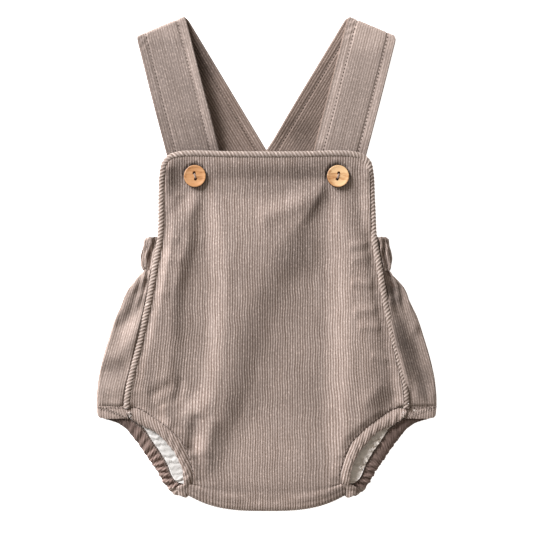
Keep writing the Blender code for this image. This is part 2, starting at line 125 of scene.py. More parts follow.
# %% Node helpers


def add_node(tree, kind, inputs=(), out=0, **settings):
    """Adds a node and gives one output. `inputs` maps the name or number of an input to a value or a link."""
    made = tree.nodes.new(kind)
    for name, value in settings.items():
        setattr(made, name, value)
    for key, value in dict(inputs).items():
        if isinstance(value, bpy.types.NodeSocket):
            tree.links.new(value, made.inputs[key])
        else:
            made.inputs[key].default_value = value
    return made.outputs[out]


def calculate(tree, operation, *values, **settings):
    """The result of a Math node on one to three values or links."""
    return add_node(tree, "ShaderNodeMath", enumerate(values), operation=operation, **settings)


def scale_vector(tree, vector, factor):
    """A vector or colour made longer or lighter by a factor."""
    return add_node(tree, "ShaderNodeVectorMath", {0: vector, "Scale": factor}, operation="SCALE")


def remap(tree, value, low, high, to_low=0.0, to_high=1.0, **settings):
    """The value moved from the range low to high into another range, and held inside it."""
    ranges = {"Value": value, "From Min": low, "From Max": high, "To Min": to_low, "To Max": to_high}
    return add_node(tree, "ShaderNodeMapRange", ranges, **settings)


def add_noise(tree, place, scale, detail, **inputs):
    """Cloudy noise around 0.5, with `scale` spots to each unit of `place`."""
    inputs.update({"Vector": place, "Scale": scale, "Detail": detail})
    return add_node(tree, "ShaderNodeTexNoise", inputs, "Fac")


def blend(tree, factor, first, second):
    """A mix of two colours: all of the first at factor 0, all of the second at 1."""
    return add_node(tree, "ShaderNodeMix", {"Factor": factor, "A": first, "B": second}, 2, data_type="RGBA")


def new_material(name):
    """An empty node material, its tree and its Principled shader."""
    material = bpy.data.materials.new(name)
    material.use_nodes = True
    return material, material.node_tree, material.node_tree.nodes["Principled BSDF"]


def finish_shader(tree, shader, colour, relief, values):
    """Links the colour and the relief (strength, depth in millimetres, height), and sets the other values."""
    tree.links.new(colour, shader.inputs["Base Color"])
    if relief:
        strength, depth, height = relief
        relief = {"Strength": strength, "Distance": depth * MM, "Height": height}
        tree.links.new(add_node(tree, "ShaderNodeBump", relief), shader.inputs["Normal"])
    for name, value in values.items():
        shader.inputs[name].default_value = value


# %% [markdown]
# ## Needlecord
#
# Corduroy is a cotton plain weave with an extra weft that is cut into a row of tufts. Each row is a
# rib, also called a wale. Here the ribs are 2 mm apart, which is fine needlecord. A groove gets a
# darker colour than a crest. Part of that is the ground weave showing between the tufts, and part is
# painted shade on top of the shade that the relief casts. Small broken highlights along the crests are
# painted into the colour as well. Each piece can also carry painted light and shade in a mesh
# attribute. Every piece carries flat cloth coordinates in its UV map: one runs across the ribs and the
# other along them. The ribs themselves are real relief in the mesh, and the material reads the same
# coordinates.

# %% Needlecord material
WALE = 2.0                     # from one rib to the next, in millimetres
TUFT = (0.55, 1.5)             # size of a tuft of pile, across and along a rib
GLINT_SIZE = (1.1, 2.6)             # size of a painted highlight, where a tuft stands proud and would catch the light
STREAK = (1.9, 34.0)           # how far one rib keeps its own shade, across and along
PATCH = 26.0                   # size of the areas where the nap lies another way
PAINTED_LIGHT_TINT = 0.38                # how much lighter a slope of 1 towards the window is painted: painted light
LIGHT_TRAVEL = (0.75, -0.66)       # the way the window's light travels across the table, to the right and down


def make_cord_material(name, crest, groove, contrast, sheen):
    """Cut-pile cotton: no gloss, a soft sheen from the standing fibres, grooves darker than crests, painted
    highlights on proud tufts, and painted light and shade read from a mesh attribute.
    """
    material, tree, shader = new_material(name)
    cloth = add_node(tree, "ShaderNodeUVMap", uv_map="cloth")
    across = add_node(tree, "ShaderNodeSeparateXYZ", {0: cloth}, "X")
    wave = calculate(tree, "COSINE", calculate(tree, "MULTIPLY", across, 2 * math.pi / (WALE * MM)))
    rib = remap(tree, wave, -0.75, 0.9, 0.5 - 0.5 * contrast, 0.5 + 0.26 * contrast,
                interpolation_type="SMOOTHSTEP")

    def cloth_noise(size, detail):
        scale = (1 / (size[0] * MM), 1 / (size[1] * MM), 1)
        scaled = add_node(tree, "ShaderNodeVectorMath", {0: cloth, 1: scale}, operation="MULTIPLY")
        return add_noise(tree, scaled, 1.0, detail, Roughness=0.6)

    tufts, streaks, proud = cloth_noise(TUFT, 2.0), cloth_noise(STREAK, 1.0), cloth_noise(GLINT_SIZE, 1.0)
    # painted highlights: bright specks laid on the rib crests wherever the noise picks a proud tuft
    painted_glint = remap(tree, proud, 0.5, 0.68, -0.08, 0.55, interpolation_type="SMOOTHSTEP")
    tufted = calculate(tree, "MULTIPLY_ADD", tufts, 1.15, rib)
    streaked = calculate(tree, "MULTIPLY_ADD", streaks, 0.6, tufted)
    shade = calculate(tree, "SUBTRACT", streaked, 0.87, use_clamp=True)
    # groove colour: part ground weave, part painted shade in the grooves
    crest_and_groove = blend(tree, shade, linear(groove), linear(crest))
    place = add_node(tree, "ShaderNodeTexCoord", out="Object")
    patches = remap(tree, add_noise(tree, place, 1 / (PATCH * MM), 3.0, Roughness=0.55), 0.3, 0.7, 0.94, 1.06)
    # painted light and shade from the mesh attribute, added to the colour together with the random patches
    lean = add_node(tree, "ShaderNodeAttribute", out="Fac", attribute_name="painted_light_and_patches")
    painted_light_and_patches = calculate(tree, "MULTIPLY_ADD", lean, PAINTED_LIGHT_TINT, patches)
    tone = calculate(tree, "MULTIPLY_ADD", painted_glint, rib, painted_light_and_patches)
    finish = {"Roughness": 0.95, "Specular IOR Level": 0.2, "Sheen Weight": sheen, "Sheen Roughness": 0.45,
              "Sheen Tint": linear("e6dcd6")}
    finish_shader(tree, shader, scale_vector(tree, crest_and_groove, tone), (0.5, 0.25, tufts), finish)
    return material


# The same cloth in six copies that differ in contrast and sheen. Two are painted: the darker copy for the
# straps' back parts paints the shade where they lie under the front parts, and the lighter piping copy paints
# light into the shade on the rope's far side. The wrong side is darker cloth.
CORD = make_cord_material("cotton_needlecord", "b8a89f", "6d5c51", contrast=0.72, sheen=0.2)
SIDE_CORD = make_cord_material("needlecord_side_folds", "b3a39a", "75655a", contrast=0.5, sheen=0.2)
STRAP_CORD = make_cord_material("needlecord_turned_strap", "b5a59c", "73645a", contrast=0.4, sheen=0.2)
# painted shade: a darker copy of the cloth for the straps' back parts
SHADED_STRAP_CORD = make_cord_material("needlecord_painted_shade", "9d8c82", "5c4c42", contrast=0.6, sheen=0.1)
# painted light: a lighter copy that lifts the shade on the piping's far side
PIPING_CORD = make_cord_material("needlecord_on_the_bias", "c6b6ac", "7c6c61", contrast=0.75, sheen=0.2)
REVERSE = make_cord_material("needlecord_wrong_side", "8a776e", "5c4b44", contrast=0.4, sheen=0.1)

# %% [markdown]
# ## Lining, thread and wood
#
# The lining is bleached cotton muslin. It is off-white, matt, and so thin that small gathers show in
# it. The sewing thread is spun polyester dyed to match, with a slight gloss that the cord lacks. The
# edges inside are overlocked with a paler thread.

# %% Muslin and thread


def make_muslin():
    """Bleached plain-weave cotton: nearly white, matt, with a fine weave that softens the highlights."""
    material, tree, shader = new_material("cotton_muslin")
    cloth = add_node(tree, "ShaderNodeUVMap", uv_map="cloth")
    weave = add_noise(tree, cloth, 1 / (0.7 * MM), 2.0)
    washed = blend(tree, add_noise(tree, cloth, 1 / (9 * MM), 2.0), linear("c6c2bc"), linear("d8d5d0"))
    place = add_node(tree, "ShaderNodeTexCoord", out="Object")
    right = remap(tree, add_node(tree, "ShaderNodeSeparateXYZ", {0: place}, "X"), -20 * MM, 20 * MM)
    # painted light: the lining on the right lies in the shadow of the right front band and is painted lighter
    # and warmer, as if lit by bounced light
    colour = blend(tree, right, washed, linear("f1e8de"))    # lighter and a little warmer on the right
    finish_shader(tree, shader, colour, (0.4, 0.12, weave), {"Roughness": 0.9, "Sheen Weight": 0.15})
    return material


def make_thread(name, colour):
    """Spun polyester: dyed through, with the low gloss of twisted fibres."""
    material, tree, shader = new_material(name)
    place = add_node(tree, "ShaderNodeTexCoord", out="Object")
    tone = remap(tree, add_noise(tree, place, 1 / (0.6 * MM), 1.0), 0.0, 1.0, 0.8, 1.15)
    finish_shader(tree, shader, scale_vector(tree, linear(colour)[:3], tone), None, {"Roughness": 0.6})
    return material


MUSLIN = make_muslin()
TOPSTITCH = make_thread("polyester_topstitch_thread", "5f5047")
DITCH_THREAD = make_thread("polyester_seam_thread", "4a3a33")
OVERLOCK = make_thread("polyester_overlock_thread", "b5a69c")
TACK = make_thread("polyester_bar_tack_thread", "ded6cf")
BUTTON_THREAD = make_thread("polyester_button_thread", "9c8b82")
print("materials so far:", len(bpy.data.materials))

# %% [markdown]
# ## The garment's measures
#
# The folds and outlines below are short tables in millimetres, shared with the construction model.
# Each row is a section or a fold that a hand could lay. Between the rows runs a curve that never
# swings past its points. Splines would overshoot beside a sharp turn and make the cloth bulge where
# nothing pushes it.

# %% Curves through short tables
CLOTH = 0.9              # the woven ground and its pile, thinner than the solid that stands for it
GAP = 0.4                # between two pieces that lie against each other
PIPE_RADIUS = 2.2
CORNER_RADIUS = 8.8      # of the bib's top corners
FOLD_RADIUS = 2.6        # of the folds at both sides of the back
BIB_TOP, WAIST_LOW, HEM, CROTCH = 88.6, -5.2, -113.4, -198.4     # heights from the middle of the garment
CROTCH_START, TUCK_END = -173.6, -189.4      # where the crotch begins, and where it is tucked under
CROTCH_HALF, CROTCH_RISE = 63.5, 13.0        # half the crotch's width, and how far its ends climb


def table(names, *rows):
    """A short table as a dictionary with one array for each named column."""
    return dict(zip(names.split(), np.array(rows, dtype=float).T))


def ease(t):
    """0 below t = 0, 1 above t = 1, and an S between."""
    t = np.clip(t, 0.0, 1.0)
    return t * t * (3 - 2 * t)


def ramp(value, start, end):
    """0 at start, 1 at end, and an S between. The end may be the lower one."""
    return ease((value - start) / (end - start))


def smooth(xs, ys, at):
    """A curve through the points that never swings past them, read at `at`. `xs` rises."""
    at = np.asarray(at, dtype=float)
    step = np.diff(xs)
    slope = np.diff(ys) / step
    tangent = np.empty(len(xs))
    tangent[0], tangent[-1] = slope[0], slope[-1]
    product, total = slope[:-1] * slope[1:], slope[:-1] + slope[1:]
    tangent[1:-1] = np.where(product > 0, 2 * product / np.where(total == 0, 1, total), 0)
    i = np.clip(np.searchsorted(xs, at) - 1, 0, len(xs) - 2)
    t = np.clip((at - xs[i]) / step[i], 0.0, 1.0)
    bend = step[i] * (tangent[i] * t * (1 - t) ** 2 - tangent[i + 1] * t * t * (1 - t))
    return ys[i] + (ys[i + 1] - ys[i]) * ease(t) + bend


def lookup(rows, name, y):
    """One column of a table at the height y."""
    return smooth(rows["y"], rows[name], y)


# %% Outline tables
PIPING = table(
    "y half height",
    (-113, 111.7, 5.6), (-107, 111.2, 5.9), (-66.8, 102.2, 6), (-26.4, 93.4, 6), (-5.2, 89.7, 5.8),
    (31.2, 84.4, 5.4), (52, 84.2, 5.4), (64, 83.8, 6.2), (76, 82.6, 7.4), (79.8, 82.2, 7.6),
)
FRONT_LEG = table(
    "seam_x seam_y edge_x edge_y",
    (58.9, -173.6, 66.3, -175.6), (58.6, -168, 66.9, -171), (61.6, -155.9, 67.6, -164.2),
    (64.6, -148, 69.6, -158.8), (68.6, -140.8, 73, -152.2), (79.2, -130.9, 80.6, -142.4),
    (90.6, -122.9, 89.8, -134.3), (99.7, -116.9, 98.2, -130.4), (105.2, -114.8, 103.8, -127.4),
    (113.4, -115.8, 109.9, -123),
)
FRONT_FACE = table(
    "y height",
    (-184, 6), (-176, 6.4), (-164, 6.1), (-140, 4.9), (-122, 4.4), (-110, 4.3), (-40, 4.5), (-5, 5.4),
    (22, 6.2), (46, 6.2), (56, 6.3), (66, 6.9), (76, 8.2), (82, 8.8), (86.2, 9),
)
CROTCH_ROLL = table(
    "y height",
    (-189, 5.4), (-193, 5.1), (-196.2, 4.4), (-197.9, 3.3), (CROTCH, 1.9), (-197.9, 0.7), (-196.5, 0.1),
    (-195, 0), (TUCK_END, 0),
)
SIDE = table(
    "y half",
    (-123.6, 136.4), (-108.8, 136.4), (-96, 135.6), (-83.2, 133.2), (-70.4, 130), (-57.6, 126),
    (-44.8, 122), (-32, 116.4), (-25.6, 114), (-19.2, 110.8), (-12.8, 106), (-5.6, 99.6),
)
WAIST_SIDE = table(
    "y half",
    (-5.2, 99.6), (-1, 100.9), (5, 101.3), (11, 100.2), (16, 99), (19.2, 98.6), (21.6, 96.2),
)
BACK_LEG = table(
    "x y",
    (64, -175), (71, -173.4), (75, -168.6), (78.6, -160.4), (84.6, -150), (91.5, -140), (98.4, -129.8),
    (106, -124.2), (115, -119.2), (125, -115.4), (133.8, HEM),
)
BACK_CASING = table(
    "seam_x seam_y edge_x edge_y turn",
    (114.8, -113.9, 110.7, -123.5, 0), (120.5, -113.9, 118.5, -123.7, 0), (127, -113.9, 126.4, -123.8, 0),
    (133.8, -113.9, 133.4, -123, 0), (133.8, -113.9, 133.2, -122.3, 45),
    (133.8, -113.9, 133.2, -121.8, 90), (133.8, -114.1, 133.2, -122.3, 135),
    (133.8, -114.3, 133.4, -123.2, 180), (128, -115.2, 128.2, -124.9, 180),
    (121.5, -117.6, 120.8, -127.2, 180), (114.6, -120.6, 113, -132.2, 180),
    (106.2, -125.2, 107.6, -138.6, 180), (99, -130.6, 102.2, -145.6, 180),
    (92.2, -140.9, 97.2, -152.8, 180), (85.2, -150.9, 92.2, -160.2, 180), (79.2, -161.2, 88, -166.2, 180),
    (76.2, -169.2, 84.2, -173.2, 180), (73.2, -173.6, 79.6, -179.4, 180),
    (69.6, -175.2, 74.4, -184.8, 180), (64.3, -176.3, 64.6, -187, 180), (61.8, -177, 61.8, -185.8, 180),
)


def shifted(xs, ys, distance):
    """The line through these points moved sideways, each point along its own normal."""
    dx, dy = np.gradient(xs), np.gradient(ys)
    length = np.hypot(dx, dy)
    return xs + distance * dy / length, ys - distance * dx / length


SEAM_REACH = 1.3         # how far the cloth runs on into the seam under the piping
LEG_REACH = 0.5          # and under the leg bands
LEG_EDGE_X, LEG_EDGE_Y = shifted(FRONT_LEG["seam_x"][:-1], FRONT_LEG["seam_y"][:-1], LEG_REACH)
BIB_RISE = 2.2           # how much the bib's top edge stands up where the straps come out
LEG_RISE = 2.2           # how much the front stands up along the leg openings


def piping_half(y):
    return lookup(PIPING, "half", y)


def bib_rise(y):
    return BIB_RISE * ramp(y, 56, 84)


def piping_height(y):
    return lookup(PIPING, "height", y) + bib_rise(y)


def leg_rise(y):
    return LEG_RISE * ramp(y, -116, -132) * ramp(y, -181, -165)


CORNER_Y = BIB_TOP - CORNER_RADIUS
INNER_CORNER = CORNER_RADIUS - PIPE_RADIUS - GAP + SEAM_REACH


def front_half(y):
    """Half the width of the front panel at height y: bib corner, side seam, then leg edge."""
    rise = np.clip(y - CORNER_Y, 0, INNER_CORNER)
    bib = piping_half(np.minimum(y, CORNER_Y)) - CORNER_RADIUS + np.sqrt(INNER_CORNER ** 2 - rise ** 2)
    ys = np.array([CROTCH, *LEG_EDGE_Y, PIPING["y"][0]])
    halves = np.array([CROTCH_HALF, *LEG_EDGE_X, PIPING["half"][0] - PIPE_RADIUS - GAP + SEAM_REACH])
    return np.where(y > PIPING["y"][0], bib, smooth(ys, halves, y))


def bib_sag(x, y):
    """How far the bib's top edge hangs down: least at the buttons, and most at the corners."""
    edge = 1.5 - 0.8 * np.exp(-((np.abs(x) - 56) / 20) ** 2) + 3.0 * ramp(np.abs(x), 64, 86)
    return edge * ramp(y, 68, 86)


def crotch_bow(x):
    """How far the outline at the crotch climbs from the middle out to x."""
    return CROTCH_RISE * np.abs(x / CROTCH_HALF) ** 3


print("front half width at the waist:", round(float(front_half(np.array(0.0))), 1), "mm")

# %% [markdown]
# ## Folds laid out in tables
#
# A garment on a table has a few long folds that run from where it is held, and many short creases
# beside its seams. Cloth simulation makes pleasing folds, but never the ones of a given garment. So
# the long folds are tables of where the cloth rises and falls again, and the short creases are
# ridges (+) and troughs (-) with soft ends. Irregular waves stand for gathers and puckers, because
# even spacing is what makes gathers look false.

# %% Long folds of the front
FOLD_COLUMNS = "y left rise_width right fall_width height"
FRONT_FOLDS = (
    table(
        FOLD_COLUMNS,
        (-122, -108, 10, -78, 24, 0), (-93, -104, 11, -70, 26, 2.4), (-69, -99.5, 11, -66, 24, 2.9),
        (-29, -90, 11, -66, 20, 3.6), (0, -84, 11, -60, 18, 3.8), (16, -81, 11, -56, 17, 3.8),
        (36, -78, 10, -54, 16, 2.6), (50, -82, 9, -52, 14, 1.5), (62, -84, 9, -50, 13, 0),
    ),
    table(
        FOLD_COLUMNS,
        (-172, -54, 12, -42, 18, 0), (-152, -52, 13, -34, 24, 2.4), (-138, -53, 18, -29, 28, 3.2),
        (-122, -60, 30, -22, 32, 3.9), (-101, -48, 21, -14, 38, 4.5), (-69, -42, 19, -4, 46, 4.9),
        (-40, -40, 20, 8, 56, 5), (-13, -38.5, 21, 20, 54, 4.9), (11, -39.5, 20, 29, 46, 4.4),
        (30, -41.5, 15, 33, 22, 3.2), (45, -43.5, 11, 41, 13, 2.4), (60, -46.8, 8, 47, 9, 1.2),
        (68, -47, 8, 49, 9, 0),
    ),
    table(
        FOLD_COLUMNS,
        (-172, 55, 16, 72, 24, 0), (-150, 55, 20, 84, 36, 3.4), (-125, 55, 24, 98, 48, 4.9),
        (-69, 57, 26, 106, 56, 5.3), (0, 57, 23, 93, 44, 4.4), (30, 55.5, 17, 80, 30, 2.8),
        (48, 54.5, 12, 74, 22, 1.4), (62, 53, 8, 66, 12, 0),
    ),
)

# %% Short creases
# Each crease: the x and y of its start and of its end, its width, and its height or depth.
FRONT_CREASES = (
    (-55, 50, -71, 26, 4.5, 0.5), (-61, 58, -77, 40, 4.5, -0.8), (46, 57, -4, 36, 7, 1.4),
    (-68, -92, -72, -110, 4, -1), (-93, -105, -76, -96, 4, -1.1), (-82, -114, -77, -130, 4, 1.2),
    (-42, -124, -50, -152, 5, 1.2), (-55, -122, -60, -150, 5, -1.7), (91, -117, 104, -103, 5, -0.6),
    (78, -112, 92, -96, 5, 0.8), (-78, 84, -79, 56, 5, 0.8), (-66, 82, -69, 58, 5, -0.7),
    (-80, 22, -70, 20, 3.2, 0.7), (-82, 6, -68, 2, 3.2, 0.7), (-86, -22, -78, -24, 2.6, 0.5),
    (80, 16, 66, 14, 2.8, 0.8), (82, 5, 68, 4, 2.6, 0.7), (84, -16, 68, -15, 3.4, 0.9),
    (87, -36, 70, -38, 3.2, 0.9), (90, -50, 74, -50, 2.8, 0.8), (96, -76, 84, -73, 2.8, 0.6),
)
LEFT_WRAP_CREASES = (
    (-94, -44, -122, -76, 7, 1.6), (-97, -30, -119, -52, 5, -1.5), (-111, -84, -132, -86, 7, -1.5),
    (-98, -10, -107, -22, 2.6, 0.8), (-95, -12, -99, -22, 2.2, -1.2), (-112, -98, -134, -102, 7, 0.7),
)
RIGHT_WRAP_CREASES = (
    (94, -8, 103, -24, 4, -2), (97, -28, 121, -52, 5, 1.5), (118, -104, 133, -108, 6, 0.8),
)
WAIST_CREASES = (
    (-93, 14, -95, -6, 2.4, -2), (-99, 12, -102, -3, 1.6, -1.2), (94, 12, 95, -4, 2, -0.7),
)
# Each patch of painted light (+) or painted shade (-): the x and y of its middle, its half width and half
# height, and how much lighter or darker it is painted.
FRONT_PAINTED_PATCHES = (
    (-4, 66, 44, 13, -0.4), (40, 76, 20, 9, -0.5), (20, 12, 20, 17, -0.45), (37, 50, 9, 13, -0.35),
    (70, -80, 19, 90, 0.45), (0, -150, 34, 30, 0.35), (0, -193, 56, 9, 0.9), (-57, -129, 9, 9, -0.45),
    (-50, -158, 9, 9, -0.4), (67, 65, 7, 9, 0.5), (-49, 62, 7, 7, 0.5), (-82, -105, 7, 28, 0.5),
    (-104, -99, 7, 22, 0.5), (-72, 52, 9, 28, -0.55), (-78, 28, 5, 17, -0.6),
)
WRAP_PAINTED_PATCHES = (
    (103, -24, 7, 9, -1.2), (107, -57, 6, 14, -0.9), (116, -73, 6, 14, -0.7), (126, -95, 6, 12, -0.8),
    (-106, -30, 13, 16, -0.5), (-121, -88, 8, 8, -0.6), (-123, -110, 14, 4, 0.35), (124, -110, 14, 4, 0.2),
)
STRAP_BACK_PAINTED_SHADE = (          # of their inner faces: painted shade where the back parts lie under the front parts
    (-48, 168, 11, 20, -1.2), (30, 102, 9, 12, -0.6),
)
WAVE_REACH = 420.0       # waves are defined this far either side of zero


def creases(rows, x, y):
    """The sum of the rows' ridges and troughs at (x, y)."""
    total = np.zeros(np.shape(x))
    for x0, y0, x1, y1, width, height in rows:
        length = math.hypot(x1 - x0, y1 - y0)
        along = ((x - x0) * (x1 - x0) + (y - y0) * (y1 - y0)) / length
        across = ((x - x0) * (y1 - y0) - (y - y0) * (x1 - x0)) / length
        ends = ease(along / width + 0.6) * ease((length - along) / width + 0.6)
        total += height * ends * np.exp(-(across / width) ** 2)
    return total


def painted_patches(rows, x, y):
    """Painted light (+) and painted shade (-) at (x, y), in patches with soft edges."""
    total = np.zeros(np.shape(x))
    for cx, cy, wide, high, lean in rows:
        total += lean * np.exp(-((x - cx) / wide) ** 4 - ((y - cy) / high) ** 4)
    return total


def fold_height(fold, x, y):
    """What one long fold adds to the front at (x, y). It falls steeply at first, and then tails off."""
    left, rise, right, fall, height = (lookup(fold, name, y) for name in FOLD_COLUMNS.split()[1:])
    fallen = (x - right) / fall + 0.5
    return height * (ease((x - left) / rise + 0.5) - 0.5 * ease(fallen) - 0.5 * ease(1.7 * fallen))


def waves(at, spacing, seed):
    """Irregular waves between -1 and 1, with a crest about every `spacing`."""
    random = np.random.default_rng(seed)
    count = int(4 * WAVE_REACH / spacing)
    places = (np.arange(count) + random.uniform(-0.3, 0.3, count)) * spacing / 2 - WAVE_REACH
    heights = np.where(np.arange(count) % 2, 1, -1) * random.uniform(0.4, 1.0, count)
    return smooth(places, heights, at)


print("creases on the front and sides:", len(FRONT_CREASES), len(LEFT_WRAP_CREASES + RIGHT_WRAP_CREASES))

# %% [markdown]
# ## From a surface to a sewn piece
#
# Each piece of cloth is first a function: it takes a place on the flat cloth, across and along the
# ribs, and gives the point in space where that bit of cloth ends up. The function also gives the
# surface normals. They lower the grooves between the ribs and give the cloth its thickness, so every
# piece is one closed wall. A Solidify modifier would do nearly the same, but it pushes the ribs
# through to the other side, where corduroy is flat.

# %% Ribs, normals and walls
WALE_DEPTH = 0.31
STEPS_PER_WALE = 4


def groove_depth(across_ribs):
    """How deep the groove is at each place: 0 on the ribs and 1 between them."""
    return (0.5 - 0.5 * np.cos(2 * math.pi * across_ribs / WALE)) ** 1.4


def rib_columns(reach):
    """Places across the ribs, from -reach to reach, a quarter of a rib apart."""
    count = math.ceil(reach / WALE * STEPS_PER_WALE)
    return np.arange(-count, count + 1) * WALE / STEPS_PER_WALE


def spaced(stops, step):
    """Places through all the stops, in their order, no more than `step` apart."""
    counts = [max(1, math.ceil(abs(b - a) / step)) for a, b in zip(stops, stops[1:])]
    parts = [np.linspace(a, b, n + 1)[:-1] for a, b, n in zip(stops, stops[1:], counts)]
    return np.concatenate([*parts, [stops[-1]]])


def unit_normals(surface, across, along, step=0.15):
    """Outward normals of a surface function, from points close on either side."""
    u = surface(across + step, along) - surface(across - step, along)
    v = surface(across, along + step) - surface(across, along - step)
    normal = np.cross(u, v)
    return normal / np.linalg.norm(normal, axis=-1, keepdims=True)


def counted(piece):
    """The piece itself, after its triangles are counted."""
    piece.data.calc_loop_triangles()
    print(f"{piece.name}: {len(piece.data.loop_triangles)} triangles")
    return piece


def evaluated_mesh(piece):
    """The piece's mesh as its modifiers leave it."""
    return bpy.data.meshes.new_from_object(piece.evaluated_get(bpy.context.evaluated_depsgraph_get()))


def add_piece(name, points, faces, cloth, materials, face_materials=None, lean=None, sharp=70):
    """A mesh piece. `points` and `cloth`, its flat cloth coordinates, are in millimetres."""
    mesh = bpy.data.meshes.new(name)
    mesh.from_pydata((points * MM).tolist(), [], list(faces))
    # painted light and shade go into a point attribute that the material reads
    if lean is not None:
        mesh.attributes.new("painted_light_and_patches", "FLOAT", "POINT").data.foreach_set("value", lean.astype(np.float32))
    corners = np.empty(len(mesh.loops), dtype=np.int32)
    mesh.loops.foreach_get("vertex_index", corners)
    mesh.uv_layers.new(name="cloth").data.foreach_set("uv", (cloth * MM)[corners].astype(np.float32).ravel())
    for material in materials:
        mesh.materials.append(material)
    if face_materials is not None:
        mesh.polygons.foreach_set("material_index", face_materials)
    work = bmesh.new()
    work.from_mesh(mesh)
    bmesh.ops.remove_doubles(work, verts=work.verts, dist=1e-7)
    work.to_mesh(mesh)
    work.free()
    mesh.shade_smooth()
    mesh.set_sharp_from_angle(angle=math.radians(sharp))
    return counted(add_object(name, mesh))


def painted_slope_light(normal):
    """Painted light and shade from how far a surface faces the window: above 0 it is painted lighter, below 0
    darker.
    """
    return -(normal[..., 0] * LIGHT_TRAVEL[0] + normal[..., 1] * LIGHT_TRAVEL[1])


def kept_within(across, limits):
    """The rows of `across`, each clipped to plus and minus its own limit."""
    limits = np.array(limits)[:, None]
    return np.clip(across, -limits, limits)


def shell(name, outer, inner, cloth, materials, lean=None, inner_painted_shading=None):
    """A closed wall between two grids of points. A second material goes on the inner face."""
    rows, columns = outer.shape[:2]
    top = np.arange(rows * columns).reshape(rows, columns)
    under = top + rows * columns

    def quads(*corners):
        return np.stack(corners, -1).reshape(-1, 4)

    outside = quads(top[:-1, :-1], top[:-1, 1:], top[1:, 1:], top[1:, :-1])
    inside = quads(under[:-1, :-1], under[1:, :-1], under[1:, 1:], under[:-1, 1:])
    rim = np.concatenate([
        quads(top[:-1, 0], top[1:, 0], under[1:, 0], under[:-1, 0]),
        quads(top[1:, -1], top[:-1, -1], under[:-1, -1], under[1:, -1]),
        quads(top[0, 1:], top[0, :-1], under[0, :-1], under[0, 1:]),
        quads(top[-1, :-1], top[-1, 1:], under[-1, 1:], under[-1, :-1]),
    ])
    faces = np.concatenate([outside, rim, inside])
    choice = np.zeros(len(faces), dtype=np.int32)
    choice[len(outside) + len(rim):] = len(materials) - 1
    points = np.concatenate([outer.reshape(-1, 3), inner.reshape(-1, 3)])
    flat = np.concatenate([cloth.reshape(-1, 2)] * 2)
    leans = [np.zeros(rows * columns) if side is None else side.ravel() for side in (lean, inner_painted_shading)]
    return add_piece(name, points, faces, flat, materials, choice, np.concatenate(leans))


def settle(piece, slot, *nodes):
    """The piece moves with the garment and stands for the CAD nodes, which are hidden. `slot` is not used."""
    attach(piece, "root")
    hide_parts(*nodes)


# %% [markdown]
# ## The front
#
# Bib and bloomer front are one panel. The ribs run straight down it and the seams cut across them,
# so the mesh has a column for every quarter of a rib and each row stops where the seam is. Near the
# legs the cloth is pulled outwards, and the ribs lean with it. At the crotch the panel turns under.

# %% Height of the front
ROLL_Y = CROTCH_ROLL["y"][0]
roll_steps = np.hypot(np.diff(CROTCH_ROLL["y"]), np.diff(CROTCH_ROLL["height"]))
ROLL_LENGTH = np.concatenate([[0], np.cumsum(roll_steps)])
STRAP_BUMP = 8.5         # height of the front where it lies over the crossing straps
BUTTON_PLACE = (57, 70)
BUTTON_SEAT = 7.6        # height of the cloth under the buttons, which are pulled a little into it
LEG_DIP = 1.1            # how far a stitched leg seam is drawn in


def front_drift(x, y):
    """How far the ribs have slid sideways: pulled towards the legs, and wavering a little everywhere."""
    waver = 0.35 * waves(y + 0.2 * x, 42, 71) + 0.25 * waves(y - 0.5 * x, 23, 72)
    left = 8.0 * ramp(y, -38, -143)
    right = 5.5 * ramp(y, -64, -146)
    return np.where(x < 0, -left, right) * ramp(np.abs(x), 26, 76) + waver


def front_height(x, y):
    """Height of the front's face: folds, creases, edges, and the straps under its waist."""
    height = lookup(FRONT_FACE, "height", y) + bib_rise(y)
    over_straps = ramp(np.abs(x), 46, 12) * ramp(y, -16, 6) * ramp(y, 54, 28)
    right = ease(x / 20)
    height += (STRAP_BUMP - height) * over_straps
    height += (1 - 0.55 * over_straps) * sum(fold_height(fold, x, y) for fold in FRONT_FOLDS)
    inset = front_half(y) - np.abs(x)
    leg_seam = 5.5 + leg_rise(y) - LEG_DIP * ease(1 - inset / 1.8) * (1 - 0.9 * right * ramp(y, -122, -136))
    left_seam = -0.2 + 1.7 * ramp(y, 30, 60) + 1.1 * ramp(y, -60, -90)
    right_seam = 1.5 + 0.8 * ramp(y, -50, -70) + 1.4 * ramp(y, 20, 32) * ramp(y, 84, 72)
    seam = np.where(y > HEM, piping_height(y) + left_seam + (right_seam - left_seam) * right, leg_seam)
    height = seam + (height - seam) * ease(inset / 10)
    height += creases(FRONT_CREASES, x, y) * ease(inset / 3)
    height += 0.3 * waves(y, 8.5, 3) * ease(1 - inset / 13) * ease(inset / 2)
    from_button = np.hypot(np.abs(x) - BUTTON_PLACE[0], y - BUTTON_PLACE[1])
    height += 1.2 * np.exp(-(from_button / 13) ** 2) * ramp(y, 76, 60)
    return height + np.minimum(BUTTON_SEAT - height, 0) * ramp(from_button, 10.8, 9)


def front_surface(across, row):
    """The front's face. Rows below ROLL_Y go round the crotch and under it."""
    rolled = np.clip(ROLL_Y - row, 0, None)
    y = np.where(row > ROLL_Y, row, smooth(ROLL_LENGTH, CROTCH_ROLL["y"], rolled))
    x = across + front_drift(across, y)
    roll = smooth(ROLL_LENGTH, CROTCH_ROLL["height"], rolled)
    facet = 5.6 - 0.13 * (ROLL_Y - 1.5 - row)
    creased = ramp(np.abs(x), 6, 32) * (row > ROLL_Y - 6.5) * (row < ROLL_Y - 1.5)
    roll = roll + (np.minimum(facet, 5.6) - roll) * creased
    height = front_height(x, y)
    height += (roll - height) * ease((ROLL_Y + 4 - row) / 4)
    height += 0.9 * np.exp(-((row - ROLL_Y - 0.5) / 2.6) ** 2) * ramp(np.abs(x), 8, 28)
    bow = crotch_bow(x) * ramp(row, CROTCH_START, ROLL_Y)
    return np.stack([x, y + bow - bib_sag(x, y), height], -1)


